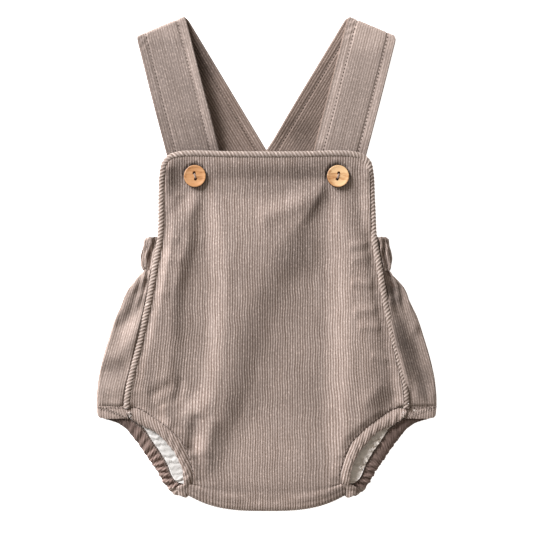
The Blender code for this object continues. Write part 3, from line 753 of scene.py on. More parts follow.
# %% Front panel
front_rows = np.concatenate([
    spaced([ROLL_Y - ROLL_LENGTH[-1], ROLL_Y], 0.9)[:-1],
    spaced([ROLL_Y, -181.0, *LEG_EDGE_Y, PIPING["y"][0], -100.0], 2.2)[:-1],
    spaced([-100.0, CORNER_Y], 2.6)[:-1],
    CORNER_Y + INNER_CORNER * np.sin(np.radians(np.linspace(0, 90, 7))),
])
across, row = np.meshgrid(rib_columns(112), front_rows)
plan_y = np.where(row > ROLL_Y, row, smooth(ROLL_LENGTH, CROTCH_ROLL["y"], ROLL_Y - row))
stretched = across + front_drift(across, plan_y)
limit = [np.interp(front_half(y[0]), x_row, a_row) for y, x_row, a_row in zip(plan_y, stretched, across)]
across = kept_within(across, limit)
base, normal = front_surface(across, row), unit_normals(front_surface, across, row)
# painted light and shade: lighter where the front faces the window, darker where it faces away, plus the
# listed patches
painted_shading = painted_slope_light(normal) + painted_patches(FRONT_PAINTED_PATCHES, base[..., 0], base[..., 1])
front = shell("front_bib_and_bloomers", base - normal * (WALE_DEPTH * groove_depth(across))[..., None],
              base - normal * CLOTH, np.stack([across, row], -1), (CORD, REVERSE), painted_shading)
settle(front, "corduroy", "front_panel")

# %% [markdown]
# ## The back and its side folds
#
# The back is a wider piece, gathered to the elastic at the waist, and it comes round both sides to
# meet the front at the piping. Its ribs are parallel in the cloth, so in space they fan out from the
# waist to the hem. One section serves for every height: along the table, round the side fold, and
# back on top. Underneath, the gathers only push inwards, because the back lies on the table.

# %% Back panel surface
GATHER_SPACING = 8.2
GATHER_DEPTH = 1.9
LEFT_CREST = table(
    "y x height radius slope",
    (HEM, 118, 5.8, 2.6, 9), (-98, 113, 6.2, 2.5, 16), (-60, 105, 6.4, 2.4, 14), (-22, 96, 6.4, 2.4, 8),
    (WAIST_LOW, 92, 6.2, 2.6, 6),
)
RIGHT_CREST = table(
    "y x height radius slope",
    (HEM, 128, 5.6, 2.6, 3), (-104, 123, 6.8, 2.3, 6), (-93, 110, 9, 1.9, 17), (-80, 105.5, 9.8, 1.7, 20),
    (-60, 99, 10.2, 1.6, 22), (-47, 96, 9.6, 1.6, 18), (-37, 95, 8.4, 1.8, 13), (-24, 92, 7.8, 2, 16),
    (-12, 91, 6.6, 2.2, 10), (WAIST_LOW, 92, 6.4, 2.6, 5),
)


def wrapped(distance, half, inner, radius, seam, crest_x, crest, slope):
    """x, height and how far round the fold, for cloth at `distance` from the middle of the back.

    Near crest_x the cloth rises over a width of `slope` to a crest, and then goes down to its seam.
    """
    roll_x = np.maximum(crest_x, inner + 2.5)
    straight = half - radius
    turn = np.clip((distance - straight) / radius, 0, math.pi)
    over = np.clip(distance - straight - math.pi * radius, 0, None)
    x = np.minimum(distance, straight) + radius * np.sin(turn) - over
    climbed, sunk = ease((crest_x + slope - x) / slope), ramp(x, roll_x, inner)
    height = radius * (1 - np.cos(turn)) + (crest - 2 * radius) * climbed * (over > 0)
    height += (seam - height) * sunk * (over > 0)
    return x, height, turn / math.pi


def section(y, sides, radius):
    """Half width, inner end on top, and length of cloth in half a section at height y."""
    half = lookup(sides, "half", y)
    inner = piping_half(y) + PIPE_RADIUS + GAP - SEAM_REACH
    return half, inner, half - radius + math.pi * radius + half - radius - inner


BACK_REACH = float(section(np.array(HEM), SIDE, FOLD_RADIUS)[2])


def gathers(across, y):
    """How far the gathers draw the cloth in, as a share of their depth: wide crests, narrow creases."""
    return (0.5 - 0.5 * waves(across + 1.5 * waves(y, 30, 5), GATHER_SPACING, 11)) ** 1.6


BACK_BOW_START = -150.0  # the back follows the bow of the crotch from here down


def back_surface(across, down):
    """The back's outer face, `down` from the waist."""
    y = WAIST_LOW - GAP / 2 - down
    level = np.maximum(y, HEM)
    radius, crest_x, crest, slope = (
        np.where(across < 0, lookup(LEFT_CREST, name, level), lookup(RIGHT_CREST, name, level))
        for name in ("radius", "x", "height", "slope"))
    half, inner, length = section(level, SIDE, radius)
    distance = np.abs(across) / BACK_REACH * length
    seam = np.where(across < 0, piping_height(level) - 1.2, np.maximum(crest - 1.2, piping_height(level)))
    x, height, turned = wrapped(distance, half, inner, radius, seam, crest_x, crest, slope)
    x = np.sign(across) * x
    on_top = ramp(turned, 0.55, 0.95)
    height += on_top * (creases(LEFT_WRAP_CREASES, x, y) + creases(RIGHT_WRAP_CREASES, x, y))
    bow = crotch_bow(np.minimum(np.abs(x), CROTCH_HALF)) * ramp(y, BACK_BOW_START, ROLL_Y)
    return np.stack([x, y + bow, height], -1)


def back_edge(x):
    """Where the back ends at x: at the tuck of the front under the crotch, or at the leg casing."""
    tuck = TUCK_END + crotch_bow(x) + 2 * GAP
    return np.where(np.abs(x) < BACK_LEG["x"][0] - 3, tuck, smooth(BACK_LEG["x"], BACK_LEG["y"], np.abs(x)))


# %% Back panel
BACK_LENGTH = WAIST_LOW - GAP / 2 - (TUCK_END + 2 * GAP)
hem_down = WAIST_LOW - GAP / 2 - HEM
back_rows = np.concatenate([spaced([-0.8, 2.4], 0.8)[:-1], spaced([2.4, hem_down], 2.7)[:-1],
                            spaced([hem_down, BACK_LENGTH], 2.2)])
across, down = np.meshgrid(rib_columns(BACK_REACH), back_rows)
seat = np.linspace(0, BACK_LEG["x"][-1], 1400)
limit = []
for row_down in back_rows:
    seat_y = back_surface(seat, np.full_like(seat, row_down))[:, 1]
    inside = seat[seat_y >= back_edge(seat) - 0.01]
    limit.append(BACK_REACH if row_down <= hem_down else inside.max())
across = kept_within(across, limit)
base, normal = back_surface(across, down), unit_normals(back_surface, across, down)
drawn = GATHER_DEPTH * ramp(down, 50, 4) * gathers(across, -down) + 0.7 * ease(1 - (down + 0.8) / 2.4)
outer = base - normal * (drawn + 0.7 * WALE_DEPTH * groove_depth(across))[..., None]
# painted light and shade: lighter where the sides face the window, darker where they face away, plus the
# listed patches
back = shell("back_bloomers", outer, base - normal * (drawn + CLOTH)[..., None],
             np.stack([across, -down], -1), (SIDE_CORD, REVERSE),
             painted_slope_light(normal) + painted_patches(WRAP_PAINTED_PATCHES, base[..., 0], base[..., 1]))
settle(back, "corduroy", "back_panel")

# %% [markdown]
# ## The waist casing
#
# The top of the back is turned over an elastic and stitched twice, which leaves a channel with a
# small frill above it. It is the same cloth as the back, so it keeps the same ribs and gathers. The
# stitch lines pull the cloth in and the channel between them puffs out.

# %% Waist casing
WAIST_TOP = float(WAIST_SIDE["y"][-1])
FRILL_STITCH, CHANNEL_STITCH = 16.2, -3.9
CASING_RADIUS = FOLD_RADIUS + 0.1


def waist_surface(across, down):
    """The casing's smooth outer face, `down` from the top of its frill."""
    y = WAIST_TOP - down
    half, inner, length = section(y, WAIST_SIDE, CASING_RADIUS)
    distance = np.abs(across) / BACK_REACH * length
    x, height, turned = wrapped(distance, half, inner, CASING_RADIUS, 5.8, 93.0, 7.0, 6.0)
    frill = ease((y - FRILL_STITCH) / 5)
    x = np.sign(across) * x
    height += 0.5 * frill + creases(WAIST_CREASES, x, y) * ramp(turned, 0.55, 0.95)
    return np.stack([x, y + 0.35 * waves(across, 5.5, 12) * frill, height], -1)


def waist_drawn(across, y):
    """How far the casing lies inside its smooth surface: gathers, and the furrow of each stitch line."""
    pinched = np.exp(-((y - FRILL_STITCH) / 1.3) ** 2) + np.exp(-((y - CHANNEL_STITCH) / 1.3) ** 2)
    even = (1 - 0.65 * pinched) * (1 - 0.8 * ease((y - FRILL_STITCH) / (WAIST_TOP - 1 - FRILL_STITCH)))
    deep = (GATHER_DEPTH + 0.7) * gathers(across, y + WAIST_LOW)
    deep += 1.4 * gathers(0.6 * across + 0.2 * y, y) ** 2
    return deep * even + 0.7 * pinched


across, down = np.meshgrid(rib_columns(BACK_REACH), spaced([0, WAIST_TOP - WAIST_LOW], 1.7))
y = WAIST_TOP - down
base, normal = waist_surface(across, down), unit_normals(waist_surface, across, down)
from_side = lookup(WAIST_SIDE, "half", y) - np.abs(base[..., 0])
drawn = waist_drawn(across, y) * (1 - 0.7 * np.exp(-(from_side / 2.5) ** 2))
outer = base - normal * (drawn + 0.8 * WALE_DEPTH * groove_depth(across))[..., None]
# painted light and shade: lighter where the casing faces the window, darker where it faces away
waist = shell("waist_casing_and_frill", outer, base - normal * (drawn + CLOTH)[..., None],
              np.stack([across, -down], -1), (CORD, REVERSE), painted_slope_light(normal))
settle(waist, "corduroy", "waist_casing")

# %% [markdown]
# ## The seat lining
#
# A second layer of thin cotton covers the seat inside. Only its edges show, in the leg openings,
# where the elastic gathers it into soft folds square to the leg.

# %% Seat lining
LINING_HALF, LINING_TOP, LINING_HEIGHT = (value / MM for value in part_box("lining")[1])
LINING_FOLDS, LINING_PUFF = (1.3, 3.2), (0.8, 1.7)     # in the left and in the right leg opening


def lining_surface(x, part):
    """The upper face, from the leg edge (part 0) to the middle of the seat (part 1)."""
    low = back_edge(x) - 1.5
    y = low + (LINING_TOP - low) * part
    along_leg = np.where(x < 0, 0.95 * y - 0.3 * x, 0.2 * x + y) + 0.8 * waves(30 * part + y / 3, 5, 9)
    near_leg = ramp(np.abs(x), 54, 62) * ease(1 - part * 1.6)
    uneven = 0.6 + 0.4 * waves(along_leg, 19, 15)
    soft = uneven * (0.45 * waves(along_leg + 9 * part, 5.4, 21) + 0.3 * waves(along_leg - 6 * part, 2.6, 8))
    soft = soft * np.where(x < 0, *LINING_FOLDS)
    return np.stack([x, y, LINING_HEIGHT - 0.3 + near_leg * (np.where(x < 0, *LINING_PUFF) + soft)], -1)


across, part = np.meshgrid(np.linspace(-LINING_HALF, LINING_HALF, 331), np.linspace(0, 1, 90) ** 1.3)
base = lining_surface(across, part)
lining = shell("seat_lining_muslin", base, base - [0, 0, 0.6], np.stack([across, part * 80], -1), (MUSLIN,))
settle(lining, "cotton_lining", "lining")

# %% [markdown]
# ## The straps
#
# A strap is two layers sewn together, turned and stitched along both edges. From the button it runs
# up to the fold, turns over at a slant and comes down behind, and the two cross at the back. The
# fold is a cylinder: cloth that passes over a slanting roller leaves it on the other side of the
# slant, and that alone sets the direction of the back part.

# %% Strap surface
STRAP_WIDTH, STRAP_CLOTH, CASING_CLOTH = 42.0, 2.0, 1.8
STRAP_FOLD = (85.3, 190.8)           # the middle of the fold
STRAP_FOLD_RADIUS = 3.0
FRONT_LEAN = math.radians(14.4)      # how far a strap leans outwards in front
FOLD_LEAN = math.radians(22.7)       # and how far its fold is tilted
FRONT_REACH, STRAP_BACK_REACH = 133.0, 216.0     # its lengths in front of the fold and behind it
STITCH_INSET = 7.4
FREE_EDGE_LIFT = 4.2     # how far the free edge of the right strap stands up behind
STRAP_PAINTED_SHADE = {-1: -0.75, 1: -0.15}   # painted shade: how much darker each strap's face is painted, most on the left one, which the window lights more
FOLD_PINCH = {-1: 0.04, 1: 0.08}    # how much narrower each strap is at its fold, which rounds the corners
# painted light and shade on the straps' faces, in patches
STRAP_FACE_PAINTED_PATCHES = (
    (-82, 163, 16, 18, -0.25), (-70, 112, 14, 20, 0.2), (84, 186, 26, 15, 0.75), (-84, 190, 24, 10, 0.4),
)
STRAP_FACE = {
    -1: table("y height", (60, 4.4), (76, 4.4), (92, 6.4), (106, 8.2), (122, 9.6), (150, 9.2), (190, 7.6)),
    1: table("y height", (60, 4.4), (76, 4.4), (92, 6.4), (110, 7.2), (150, 8.2), (190, 7.6)),
}

# for each of the two leans, the direction down along it and the one square to it
(LEAN, CROSS), (AWAY, ALONG_FOLD) = (
    (np.array([math.sin(angle), -math.cos(angle)]), np.array([math.cos(angle), math.sin(angle)]))
    for angle in (FRONT_LEAN, FOLD_LEAN))
AXIS = np.array([-STRAP_FOLD[0], STRAP_FOLD[1]]) + STRAP_FOLD_RADIUS * AWAY
TURN_LENGTH = math.pi * STRAP_FOLD_RADIUS
BACK_LEAN = 2 * FOLD_LEAN - FRONT_LEAN
back_start = AXIS - TURN_LENGTH * AWAY
CROSSING_Y = back_start[1] + back_start[0] / math.tan(BACK_LEAN)


def edge_curl(side, across, y):
    """How the strap's front part curls near its edges: the left strap lifts its inner edge."""
    right_edge, left_edge = ramp(across, 11, 20), ramp(-across, 12, 20)
    curl = 2.4 * right_edge if side < 0 else 1.1 * right_edge - 1.3 * left_edge
    return curl * ramp(y, 88, 102)


def strap_surface(side):
    """The outer face of one strap, as a function of places across it and from the bib to the waist."""

    def place(across, from_fold):
        # the strap is drawn flat first, and what goes past the fold is then turned under it
        width, length = -side * across, -from_fold
        flat_x = length * LEAN[0] + width * CROSS[0]
        flat_y = length * LEAN[1] + width * CROSS[1]
        out = flat_x * AWAY[0] + flat_y * AWAY[1]
        sideways = flat_x * ALONG_FOLD[0] + flat_y * ALONG_FOLD[1]
        sideways = sideways * (1 - FOLD_PINCH[side] * np.exp(-((out + TURN_LENGTH / 2) / 4) ** 2))
        angle = np.clip(-out / STRAP_FOLD_RADIUS, 0, math.pi)
        passed = np.clip(-out - TURN_LENGTH, 0, None)
        beyond = np.where(out >= 0, out, passed - STRAP_FOLD_RADIUS * np.sin(angle))
        x = AXIS[0] + beyond * AWAY[0] + sideways * ALONG_FOLD[0]
        y = AXIS[1] + beyond * AWAY[1] + sideways * ALONG_FOLD[1]
        fold_top = 2 * STRAP_FOLD_RADIUS
        face = lookup(STRAP_FACE[side], "height", y) + edge_curl(side, across, y)
        front = fold_top + (face - fold_top) * ease(out / 50 + 0.05)
        behind = (CASING_CLOTH + GAP) * ramp(y, 43, 26)
        if side > 0:
            free_edge = 0.5 + width / STRAP_WIDTH
            behind = behind + FREE_EDGE_LIFT * free_edge * ramp(-out, 20, 70) * ramp(y, 96, 120)
            from_other = np.abs(x * math.cos(BACK_LEAN) - (y - CROSSING_Y) * math.sin(BACK_LEAN))
            behind = behind + (STRAP_CLOTH + GAP) * ease((STRAP_WIDTH / 2 + 14.5 - from_other) / 11.5)
        rolled = STRAP_FOLD_RADIUS * (1 + np.cos(angle)) + (angle >= math.pi) * behind
        return np.stack([-side * x, y, np.where(out >= 0, front, rolled)], -1)

    return place


def strap_relief(across, from_fold, seed):
    """How far either face of a strap lies below its crests: grooves, stitch furrows and puckers."""
    from_stitch = np.abs(across) - (STRAP_WIDTH / 2 - STITCH_INSET)
    furrow = 0.5 * np.exp(-(from_stitch / 1.1) ** 2)
    lean = from_fold + 20 * np.sign(across) + 0.7 * from_stitch
    pucker = 0.3 * (1 + waves(lean, 6.5, seed)) * np.exp(-((from_stitch - 2.6) / 3.0) ** 2)
    return 0.5 * WALE_DEPTH * groove_depth(across) + furrow + pucker


# %% Straps
EDGE_RADIUS = 0.95
EDGE_TURNS = np.radians([-60, -30, 0, 30, 60])
FLAT_HALF = STRAP_WIDTH / 2 - EDGE_RADIUS


def add_strap(side, hand):
    """One strap: a loop of outer face, round edge, inner face and round edge, swept along its length."""
    surface = strap_surface(side)
    ribs = rib_columns(FLAT_HALF - 0.2)
    count, turns = len(ribs), len(EDGE_TURNS)
    loop_across = np.concatenate([ribs, FLAT_HALF + EDGE_RADIUS * np.cos(EDGE_TURNS[::-1]), ribs[::-1],
                                  -FLAT_HALF - EDGE_RADIUS * np.cos(EDGE_TURNS)])
    flat, round_edge = np.ones(count), np.sin(EDGE_TURNS)
    loop_height = np.concatenate([flat, round_edge[::-1], -flat, round_edge])
    lengths = np.concatenate([spaced([-FRONT_REACH, -14], 3.4)[:-1], spaced([-14, 22], 1.0)[:-1],
                              spaced([22, STRAP_BACK_REACH], 3.4)])
    across, from_fold = np.meshgrid(loop_across, lengths)
    sheet_height = np.broadcast_to(loop_height, across.shape)
    base, normal = surface(across, from_fold), unit_normals(surface, across, from_fold)
    relief = strap_relief(across, from_fold, 31 + side) * (np.abs(sheet_height) == 1)
    points = base - normal * (EDGE_RADIUS + 0.05 - sheet_height * (EDGE_RADIUS - relief))[..., None]
    rows, columns = across.shape
    ring = np.arange(rows * columns).reshape(rows, columns)
    after = np.roll(ring, -1, axis=1)
    faces = np.stack([ring[:-1], after[:-1], after[1:], ring[1:]], -1).reshape(-1, 4).tolist()
    walls = len(faces)
    for end, way in ((ring[0], -1), (ring[-1], 1)):
        top, bottom = end[:count], end[count + turns:2 * count + turns][::-1]
        faces += np.stack([top[:-1], bottom[:-1], bottom[1:], top[1:]], -1)[:, ::way].tolist()
        for edge in (end[count - 1:count + turns + 1], np.roll(end, turns + 1)[:turns + 2]):
            faces.append(edge[::way].tolist())
    under = np.arange(columns) >= count + 2
    x, y = points[..., 0], points[..., 1]
    # painted light and shade: on the back part, the listed patches of painted shade and a lighter strip along
    # the right strap's edge; on the front part, painted light by which way the face turns to the window, each
    # strap's painted shade and its patches
    inside = painted_patches(STRAP_BACK_PAINTED_SHADE, x, y) + (side > 0) * 0.7 * ramp(-across, 15, 19)
    face = painted_patches(STRAP_FACE_PAINTED_PATCHES, x, y)
    lean = np.where(under, inside, painted_slope_light(normal) + STRAP_PAINTED_SHADE[side] + face)
    choice = np.zeros(len(faces), dtype=np.int32)
    choice[:walls] = np.tile(under, rows - 1)
    cloth = np.stack([across, from_fold], -1).reshape(-1, 2)
    piece = add_piece(f"strap_cord_{hand}", points.reshape(-1, 3), faces, cloth, (STRAP_CORD, SHADED_STRAP_CORD), choice,
                      lean.ravel())
    settle(piece, "corduroy", f"strap_{hand}")
    return surface


strap_surfaces = {hand: add_strap(side, hand) for side, hand in HANDS}

# %% [markdown]
# ## The leg casings
#
# Each leg edge is turned over an elastic. On the front the ribs run on across the band. The back band
# is seen from inside, because the front is shorter there: it shows the darker wrong side of the cloth,
# its overlocked edge, and ruffles that get deeper towards the crotch, where the elastic pulls hardest.

# %% Bands between two lines
BAND_WIDTH = 12.0


def band(seam, edge):
    """A ruled surface from seam to edge, and its places along the seam, a quarter of a rib apart."""
    fine = np.linspace(0, len(seam) - 1, 60 * len(seam))
    index = np.arange(len(seam))

    def read(line, at):
        return np.stack([smooth(index, line[:, axis], at) for axis in range(3)], -1)

    start, end = read(seam, fine), read(edge, fine)
    rib = (end - start) / np.linalg.norm(end - start, axis=1, keepdims=True)
    step, rib = np.diff((start + end) / 2, axis=0), (rib[1:] + rib[:-1]) / 2
    square = step - (step * rib).sum(1, keepdims=True) * rib
    measure = np.concatenate([[0], np.cumsum(np.linalg.norm(square, axis=1))])

    def place(part, along):
        at = np.interp(along, measure, fine)
        first, last = read(seam, at), read(edge, at)
        return first + (last - first) * part[..., None]

    count = math.ceil(measure[-1] / WALE * STEPS_PER_WALE)
    return place, np.linspace(0, count, count + 1) * measure[-1] / count, measure[-1]


def sided(side, *grids):
    """Grids made for the right side, mirrored for the left, with their outer faces still outwards."""
    if side > 0:
        return grids
    return tuple(grid[::-1] * [-1, 1, 1] if grid.shape[-1] == 3 else grid[::-1] for grid in grids)


# %% Front leg bands
BAND_THICK = 1.7
BAND_TILT = {-1: -0.2, 1: 0.9}   # how much higher the free edge of each front band lies than its seam
BAND_BULGE = {-1: 2.1, 1: 1.6}
# painted light: how much lighter each front band is painted
FRONT_BAND_PAINTED_LIGHT = {-1: 0.25, 1: 0.45}
BAND_SLANT = {-1: 0.6, 1: 0.45}  # how much of the slide below each band takes
BAND_SLIDE = table(              # how far the ribs of the bands have slid along them
    "y slide",
    (-190, -36.7), (-185, -36.2), (-170, -33.2), (-155, -24.9), (-140, -12.9), (-125, -3.6), (-113, 0),
)
CROTCH_CURL = np.array([         # the front band's end goes down round the back band: seam, then edge
    (64.0, -187.2, 1.5, 66.4, -187.3, 1.5),
    (62.4, -186.0, 2.4, 70.6, -185.4, 2.2),
    (61.2, -182.8, 3.2, 72.6, -181.2, 3.2),
    (59.8, -178.2, 4.0, 70.6, -177.2, 4.1),
])


def add_front_band(side, hand):
    """The elastic channel along the front's leg edge, puffed out between its seam and its free edge."""
    seam = np.stack([FRONT_LEG["seam_x"], FRONT_LEG["seam_y"], 4.5 + leg_rise(FRONT_LEG["seam_y"])], -1)
    edge = np.stack([FRONT_LEG["edge_x"], FRONT_LEG["edge_y"], 4.6 + leg_rise(FRONT_LEG["seam_y"])], -1)
    seam = np.concatenate([CROTCH_CURL[:, :3], seam])
    edge = np.concatenate([CROTCH_CURL[:, 3:], edge])
    place, columns, length = band(seam, edge)

    def surface(across, along):
        part = across / BAND_WIDTH
        scallop = 0.5 * waves(along, 5.0, 41 + side) + 0.25 * waves(along, 2.3, 44)
        point = place(part * (1 + scallop / BAND_WIDTH * ease(part * 2 - 1)), along)
        ruffle = 0.4 * waves(along + 2 * part, 7.0, 47 + side) * ease(part * 1.5)
        puffed = BAND_BULGE[side] * np.sin(math.pi * (0.04 + 0.84 * part))
        tilt = BAND_TILT[side] * (1 + (side > 0) * 0.9 * ramp(point[..., 1], -140, -160))
        point[..., 2] += puffed + ruffle + tilt * part
        return point

    across, along = np.meshgrid(np.linspace(0.02, 1, 24) * BAND_WIDTH, columns)
    base, normal = surface(across, along), unit_normals(surface, across, along)
    rim = ramp(across / BAND_WIDTH, 0.78, 1)
    x, y = side * base[..., 0], base[..., 1]
    rib = x - front_drift(x, y) - side * BAND_SLANT[side] * lookup(BAND_SLIDE, "slide", y)
    relief = 1.15 * WALE_DEPTH * groove_depth(rib) + 0.35 * rim ** 2
    outer = base - normal * relief[..., None]
    inner = base - normal * (BAND_THICK - 0.5 * rim)[..., None]
    cloth = np.stack([rib, y], -1)
    piece = shell(f"front_leg_band_{hand}", *sided(side, outer, inner, cloth), (CORD, REVERSE),
                  np.full(across.shape, FRONT_BAND_PAINTED_LIGHT[side]))
    settle(piece, "corduroy", f"front_leg_casing_{hand}")
    print("front leg band:", round(length), "mm along its middle")
    return piece


front_bands = {hand: add_front_band(side, hand) for side, hand in HANDS}

# %% Back leg bands
BAND_TURN = -179.0       # below this the back band turns its right side up
# painted light: how much lighter the outer face of each back band is painted at the hem, the left one more
HEM_PAINTED_LIGHT = {-1: 0.5, 1: 0.2}
BACK_BAND_PAINTED_SHADING = {-1: (-1.1, 1.0), 1: (-0.5, 0.0)}      # painted shade at the hem end and painted light at the crotch end of each back band's inner face


def add_back_band(side, hand):
    """The elastic channel along the hem, round the side fold and down to the crotch."""
    turn = np.radians(BACK_CASING["turn"])
    out, lift = FOLD_RADIUS * np.sin(turn), FOLD_RADIUS * (1 + np.cos(turn))
    lift[-1] += 1.2
    seam = np.stack([BACK_CASING["seam_x"] + out, BACK_CASING["seam_y"] + 0.6 * (turn < 3), lift], -1)
    edge = np.stack([BACK_CASING["edge_x"] + out, BACK_CASING["edge_y"], lift], -1)
    place, columns, length = band(seam, edge)

    def ruffling(along):
        return 0.2 + 0.8 * ramp(along / length, 0.35, 0.95)

    def surface(across, along):
        part = across / BAND_WIDTH
        scallop = (0.8 * waves(along, 6.0, 51 + side) + 0.4 * waves(along, 2.6, 55)) * ruffling(along)
        return place(part * (1 + scallop / BAND_WIDTH * ease(part * 2 - 1)), along)

    across, along = np.meshgrid(np.linspace(0.03, 1, 12) * BAND_WIDTH, columns)
    base, normal = surface(across, along), unit_normals(surface, across, along)
    part = across / BAND_WIDTH
    rim = ramp(part, 0.75, 1)
    ruffle = 1.6 * waves(along + 4 * part, 5.2, 57 + side) + 0.7 * waves(along - 2 * part, 2.3, 61)
    relief = WALE_DEPTH * groove_depth(along) + 0.3 * rim ** 2
    bulge = 1.5 * np.sin(math.pi * part) * ramp(along / length, 0.28, 0.4) * ease((length - along) / 9)
    thick = BAND_THICK + bulge + ruffling(along) * ruffle * ease(part * 3) - 0.6 * rim
    thick += (1.2 - thick) * ease((8 - length + along) / 8)
    outer = base - normal * relief[..., None]
    inner = base - normal * np.maximum(thick, 0.7)[..., None]
    cloth = np.stack([along, across], -1)
    # painted shade towards the hem, where the band lies under it, changing to painted light towards the
    # crotch
    first, last = BACK_BAND_PAINTED_SHADING[side]
    shade = first + (last - first) * ramp(along / length, 0.3, 0.7)
    outer, inner, cloth, shade = sided(side, outer, inner, cloth, shade)
    piece = shell(f"back_leg_band_{hand}", outer, inner, cloth, (SIDE_CORD, REVERSE),
                  np.full(shade.shape, HEM_PAINTED_LIGHT[side]), shade)
    for face in piece.data.polygons:
        if face.center.y < BAND_TURN * MM:
            face.material_index = 0
    settle(piece, "corduroy", f"back_leg_casing_{hand}")
    print("back leg band:", round(length), "mm along its middle")
    return piece, place, length


back_bands = {hand: add_back_band(side, hand) for side, hand in HANDS}

# %% [markdown]
# ## Threads and piping grow along lines
#
# Stitches, overlocking and the ribs of the piping repeat along a path, which is what Geometry Nodes
# are for. The node tree turns a bare line of points into a curve, measures steps along it, and puts
# a stitch, a loop of thread or a ring of cloth at each step. Changing a spacing is then one number.

# %% Trees and how they are run


def new_tree(name, **inputs):
    """A geometry tree with named inputs, and its input and output nodes."""
    tree = bpy.data.node_groups.new(name, "GeometryNodeTree")
    tree.interface.new_socket("Line", in_out="INPUT", socket_type="NodeSocketGeometry")
    for label, value in inputs.items():
        kind = "NodeSocketInt" if isinstance(value, int) else "NodeSocketFloat"
        tree.interface.new_socket(label, in_out="INPUT", socket_type=kind).default_value = value
    tree.interface.new_socket("Thread", in_out="INPUT", socket_type="NodeSocketMaterial")
    tree.interface.new_socket("Result", in_out="OUTPUT", socket_type="NodeSocketGeometry")
    return tree, tree.nodes.new("NodeGroupInput").outputs, tree.nodes.new("NodeGroupOutput").inputs


def add_path(tree, given, step):
    """The line as a curve with a point at every step."""
    line = add_node(tree, "GeometryNodeMeshToCurve", {"Mesh": given["Line"]})
    return add_node(tree, "GeometryNodeResampleCurve", {"Curve": line, "Length": step}, mode="LENGTH")


def add_ring(tree, sides, radius):
    """A round profile for a sweep."""
    return add_node(tree, "GeometryNodeCurvePrimitiveCircle", {"Resolution": sides, "Radius": radius})


def sweep(tree, path, profile):
    """The profile swept along the path, with closed ends."""
    ends = {"Curve": path, "Profile Curve": profile, "Fill Caps": True}
    return add_node(tree, "GeometryNodeCurveToMesh", ends)


def finish_tree(tree, given, result, geometry):
    """Gives the geometry its material and hands it out of the tree."""
    finished = add_node(tree, "GeometryNodeSetMaterial", {"Geometry": geometry, "Material": given["Thread"]})
    tree.links.new(finished, result["Result"])


def grow(name, lines, tree, **values):
    """Runs a tree along lines of points in millimetres and keeps the result as a plain mesh piece."""
    ends = np.cumsum([len(line) for line in lines])
    edges = [(i, i + 1) for i in range(ends[-1] - 1) if i + 1 not in ends]
    mesh = bpy.data.meshes.new(name + "_line")
    mesh.from_pydata((np.concatenate(lines) * MM).tolist(), edges, [])
    source = add_object(name + "_line", mesh)
    modifier = source.modifiers.new("Grow", "NODES")
    modifier.node_group = tree
    for item in tree.interface.items_tree:
        if item.in_out == "INPUT" and item.name in values:
            modifier[item.identifier] = values[item.name]
    result = evaluated_mesh(source)
    result.name = name
    bpy.data.objects.remove(source)
    bpy.data.meshes.remove(mesh)
    return counted(add_object(name, result))


# %% Running stitches
tree, given, result = new_tree("running_stitches", Spacing=3.0 * MM, Length=2.3 * MM, Radius=0.28 * MM)
line = add_node(tree, "GeometryNodeMeshToCurve", {"Mesh": given["Line"]})
spacing = {"Curve": line, "Length": given["Spacing"]}
steps = add_node(tree, "GeometryNodeCurveToPoints", spacing, mode="LENGTH")
bead = add_node(tree, "GeometryNodeMeshUVSphere", {"Segments": 6, "Rings": 4, "Radius": 1.0}, "Mesh")
tangent = steps.node.outputs["Tangent"]
lie = add_node(tree, "FunctionNodeAlignRotationToVector", {"Vector": tangent}, axis="X")
uneven = add_node(tree, "FunctionNodeRandomValue", {2: 0.42, 3: 0.56, "Seed": 4}, 1, data_type="FLOAT")
half_length = calculate(tree, "MULTIPLY", given["Length"], uneven)
size = add_node(tree, "ShaderNodeCombineXYZ", {0: half_length, 1: given["Radius"], 2: given["Radius"]})
laid = add_node(tree, "GeometryNodeInstanceOnPoints",
                {"Points": steps, "Instance": bead, "Rotation": lie, "Scale": size})
finish_tree(tree, given, result, add_node(tree, "GeometryNodeRealizeInstances", {0: laid}))
stitch_tree = tree

# %% Overlock edge
tree, given, result = new_tree("overlock_edge", Pitch=2.2 * MM, Width=2.6 * MM, Radius=0.26 * MM)
even = add_path(tree, given, calculate(tree, "MULTIPLY", given["Pitch"], 0.5))
tangent = add_node(tree, "GeometryNodeInputTangent")
square = {0: tangent, 1: (0, 0, 1)}
sideways = add_node(tree, "ShaderNodeVectorMath", square, operation="CROSS_PRODUCT")
odd = calculate(tree, "MODULO", add_node(tree, "GeometryNodeInputIndex"), 2.0)
swing = calculate(tree, "MULTIPLY", calculate(tree, "SUBTRACT", odd, 0.5), given["Width"])
zigzag = add_node(tree, "GeometryNodeSetPosition",
                  {"Geometry": even, "Offset": scale_vector(tree, sideways, swing)})
thread = sweep(tree, zigzag, add_ring(tree, 5, given["Radius"]))
finish_tree(tree, given, result, thread)
overlock_tree = tree

# %% [markdown]
# ## The piping
#
# Piping is a cord wrapped in a strip of the same corduroy, cut on the bias so that it bends round
# the corners. The ribs therefore wind round it like the strands of a rope. The tree sweeps a ring
# along the line, and the surface rises and falls with one phase that grows along the cord and around
# it. A whole number of ribs goes round, so the rope closes on itself.

# %% Piping
PIPE_FLATTENED = (1.16, 0.7, 1)      # width and height of the sewn-in cord, against a round one
tree, given, result = new_tree("bias_piping", Radius=PIPE_RADIUS * MM, Pitch=2.9 * MM, Depth=0.47 * MM,
                               Step=0.6 * MM, Starts=-3, Sides=18)


def store(geometry, name, value, data_type="FLOAT", domain="POINT"):
    """The geometry with one more named attribute."""
    return add_node(tree, "GeometryNodeStoreNamedAttribute",
                    {"Geometry": geometry, "Name": name, "Value": value}, data_type=data_type, domain=domain)


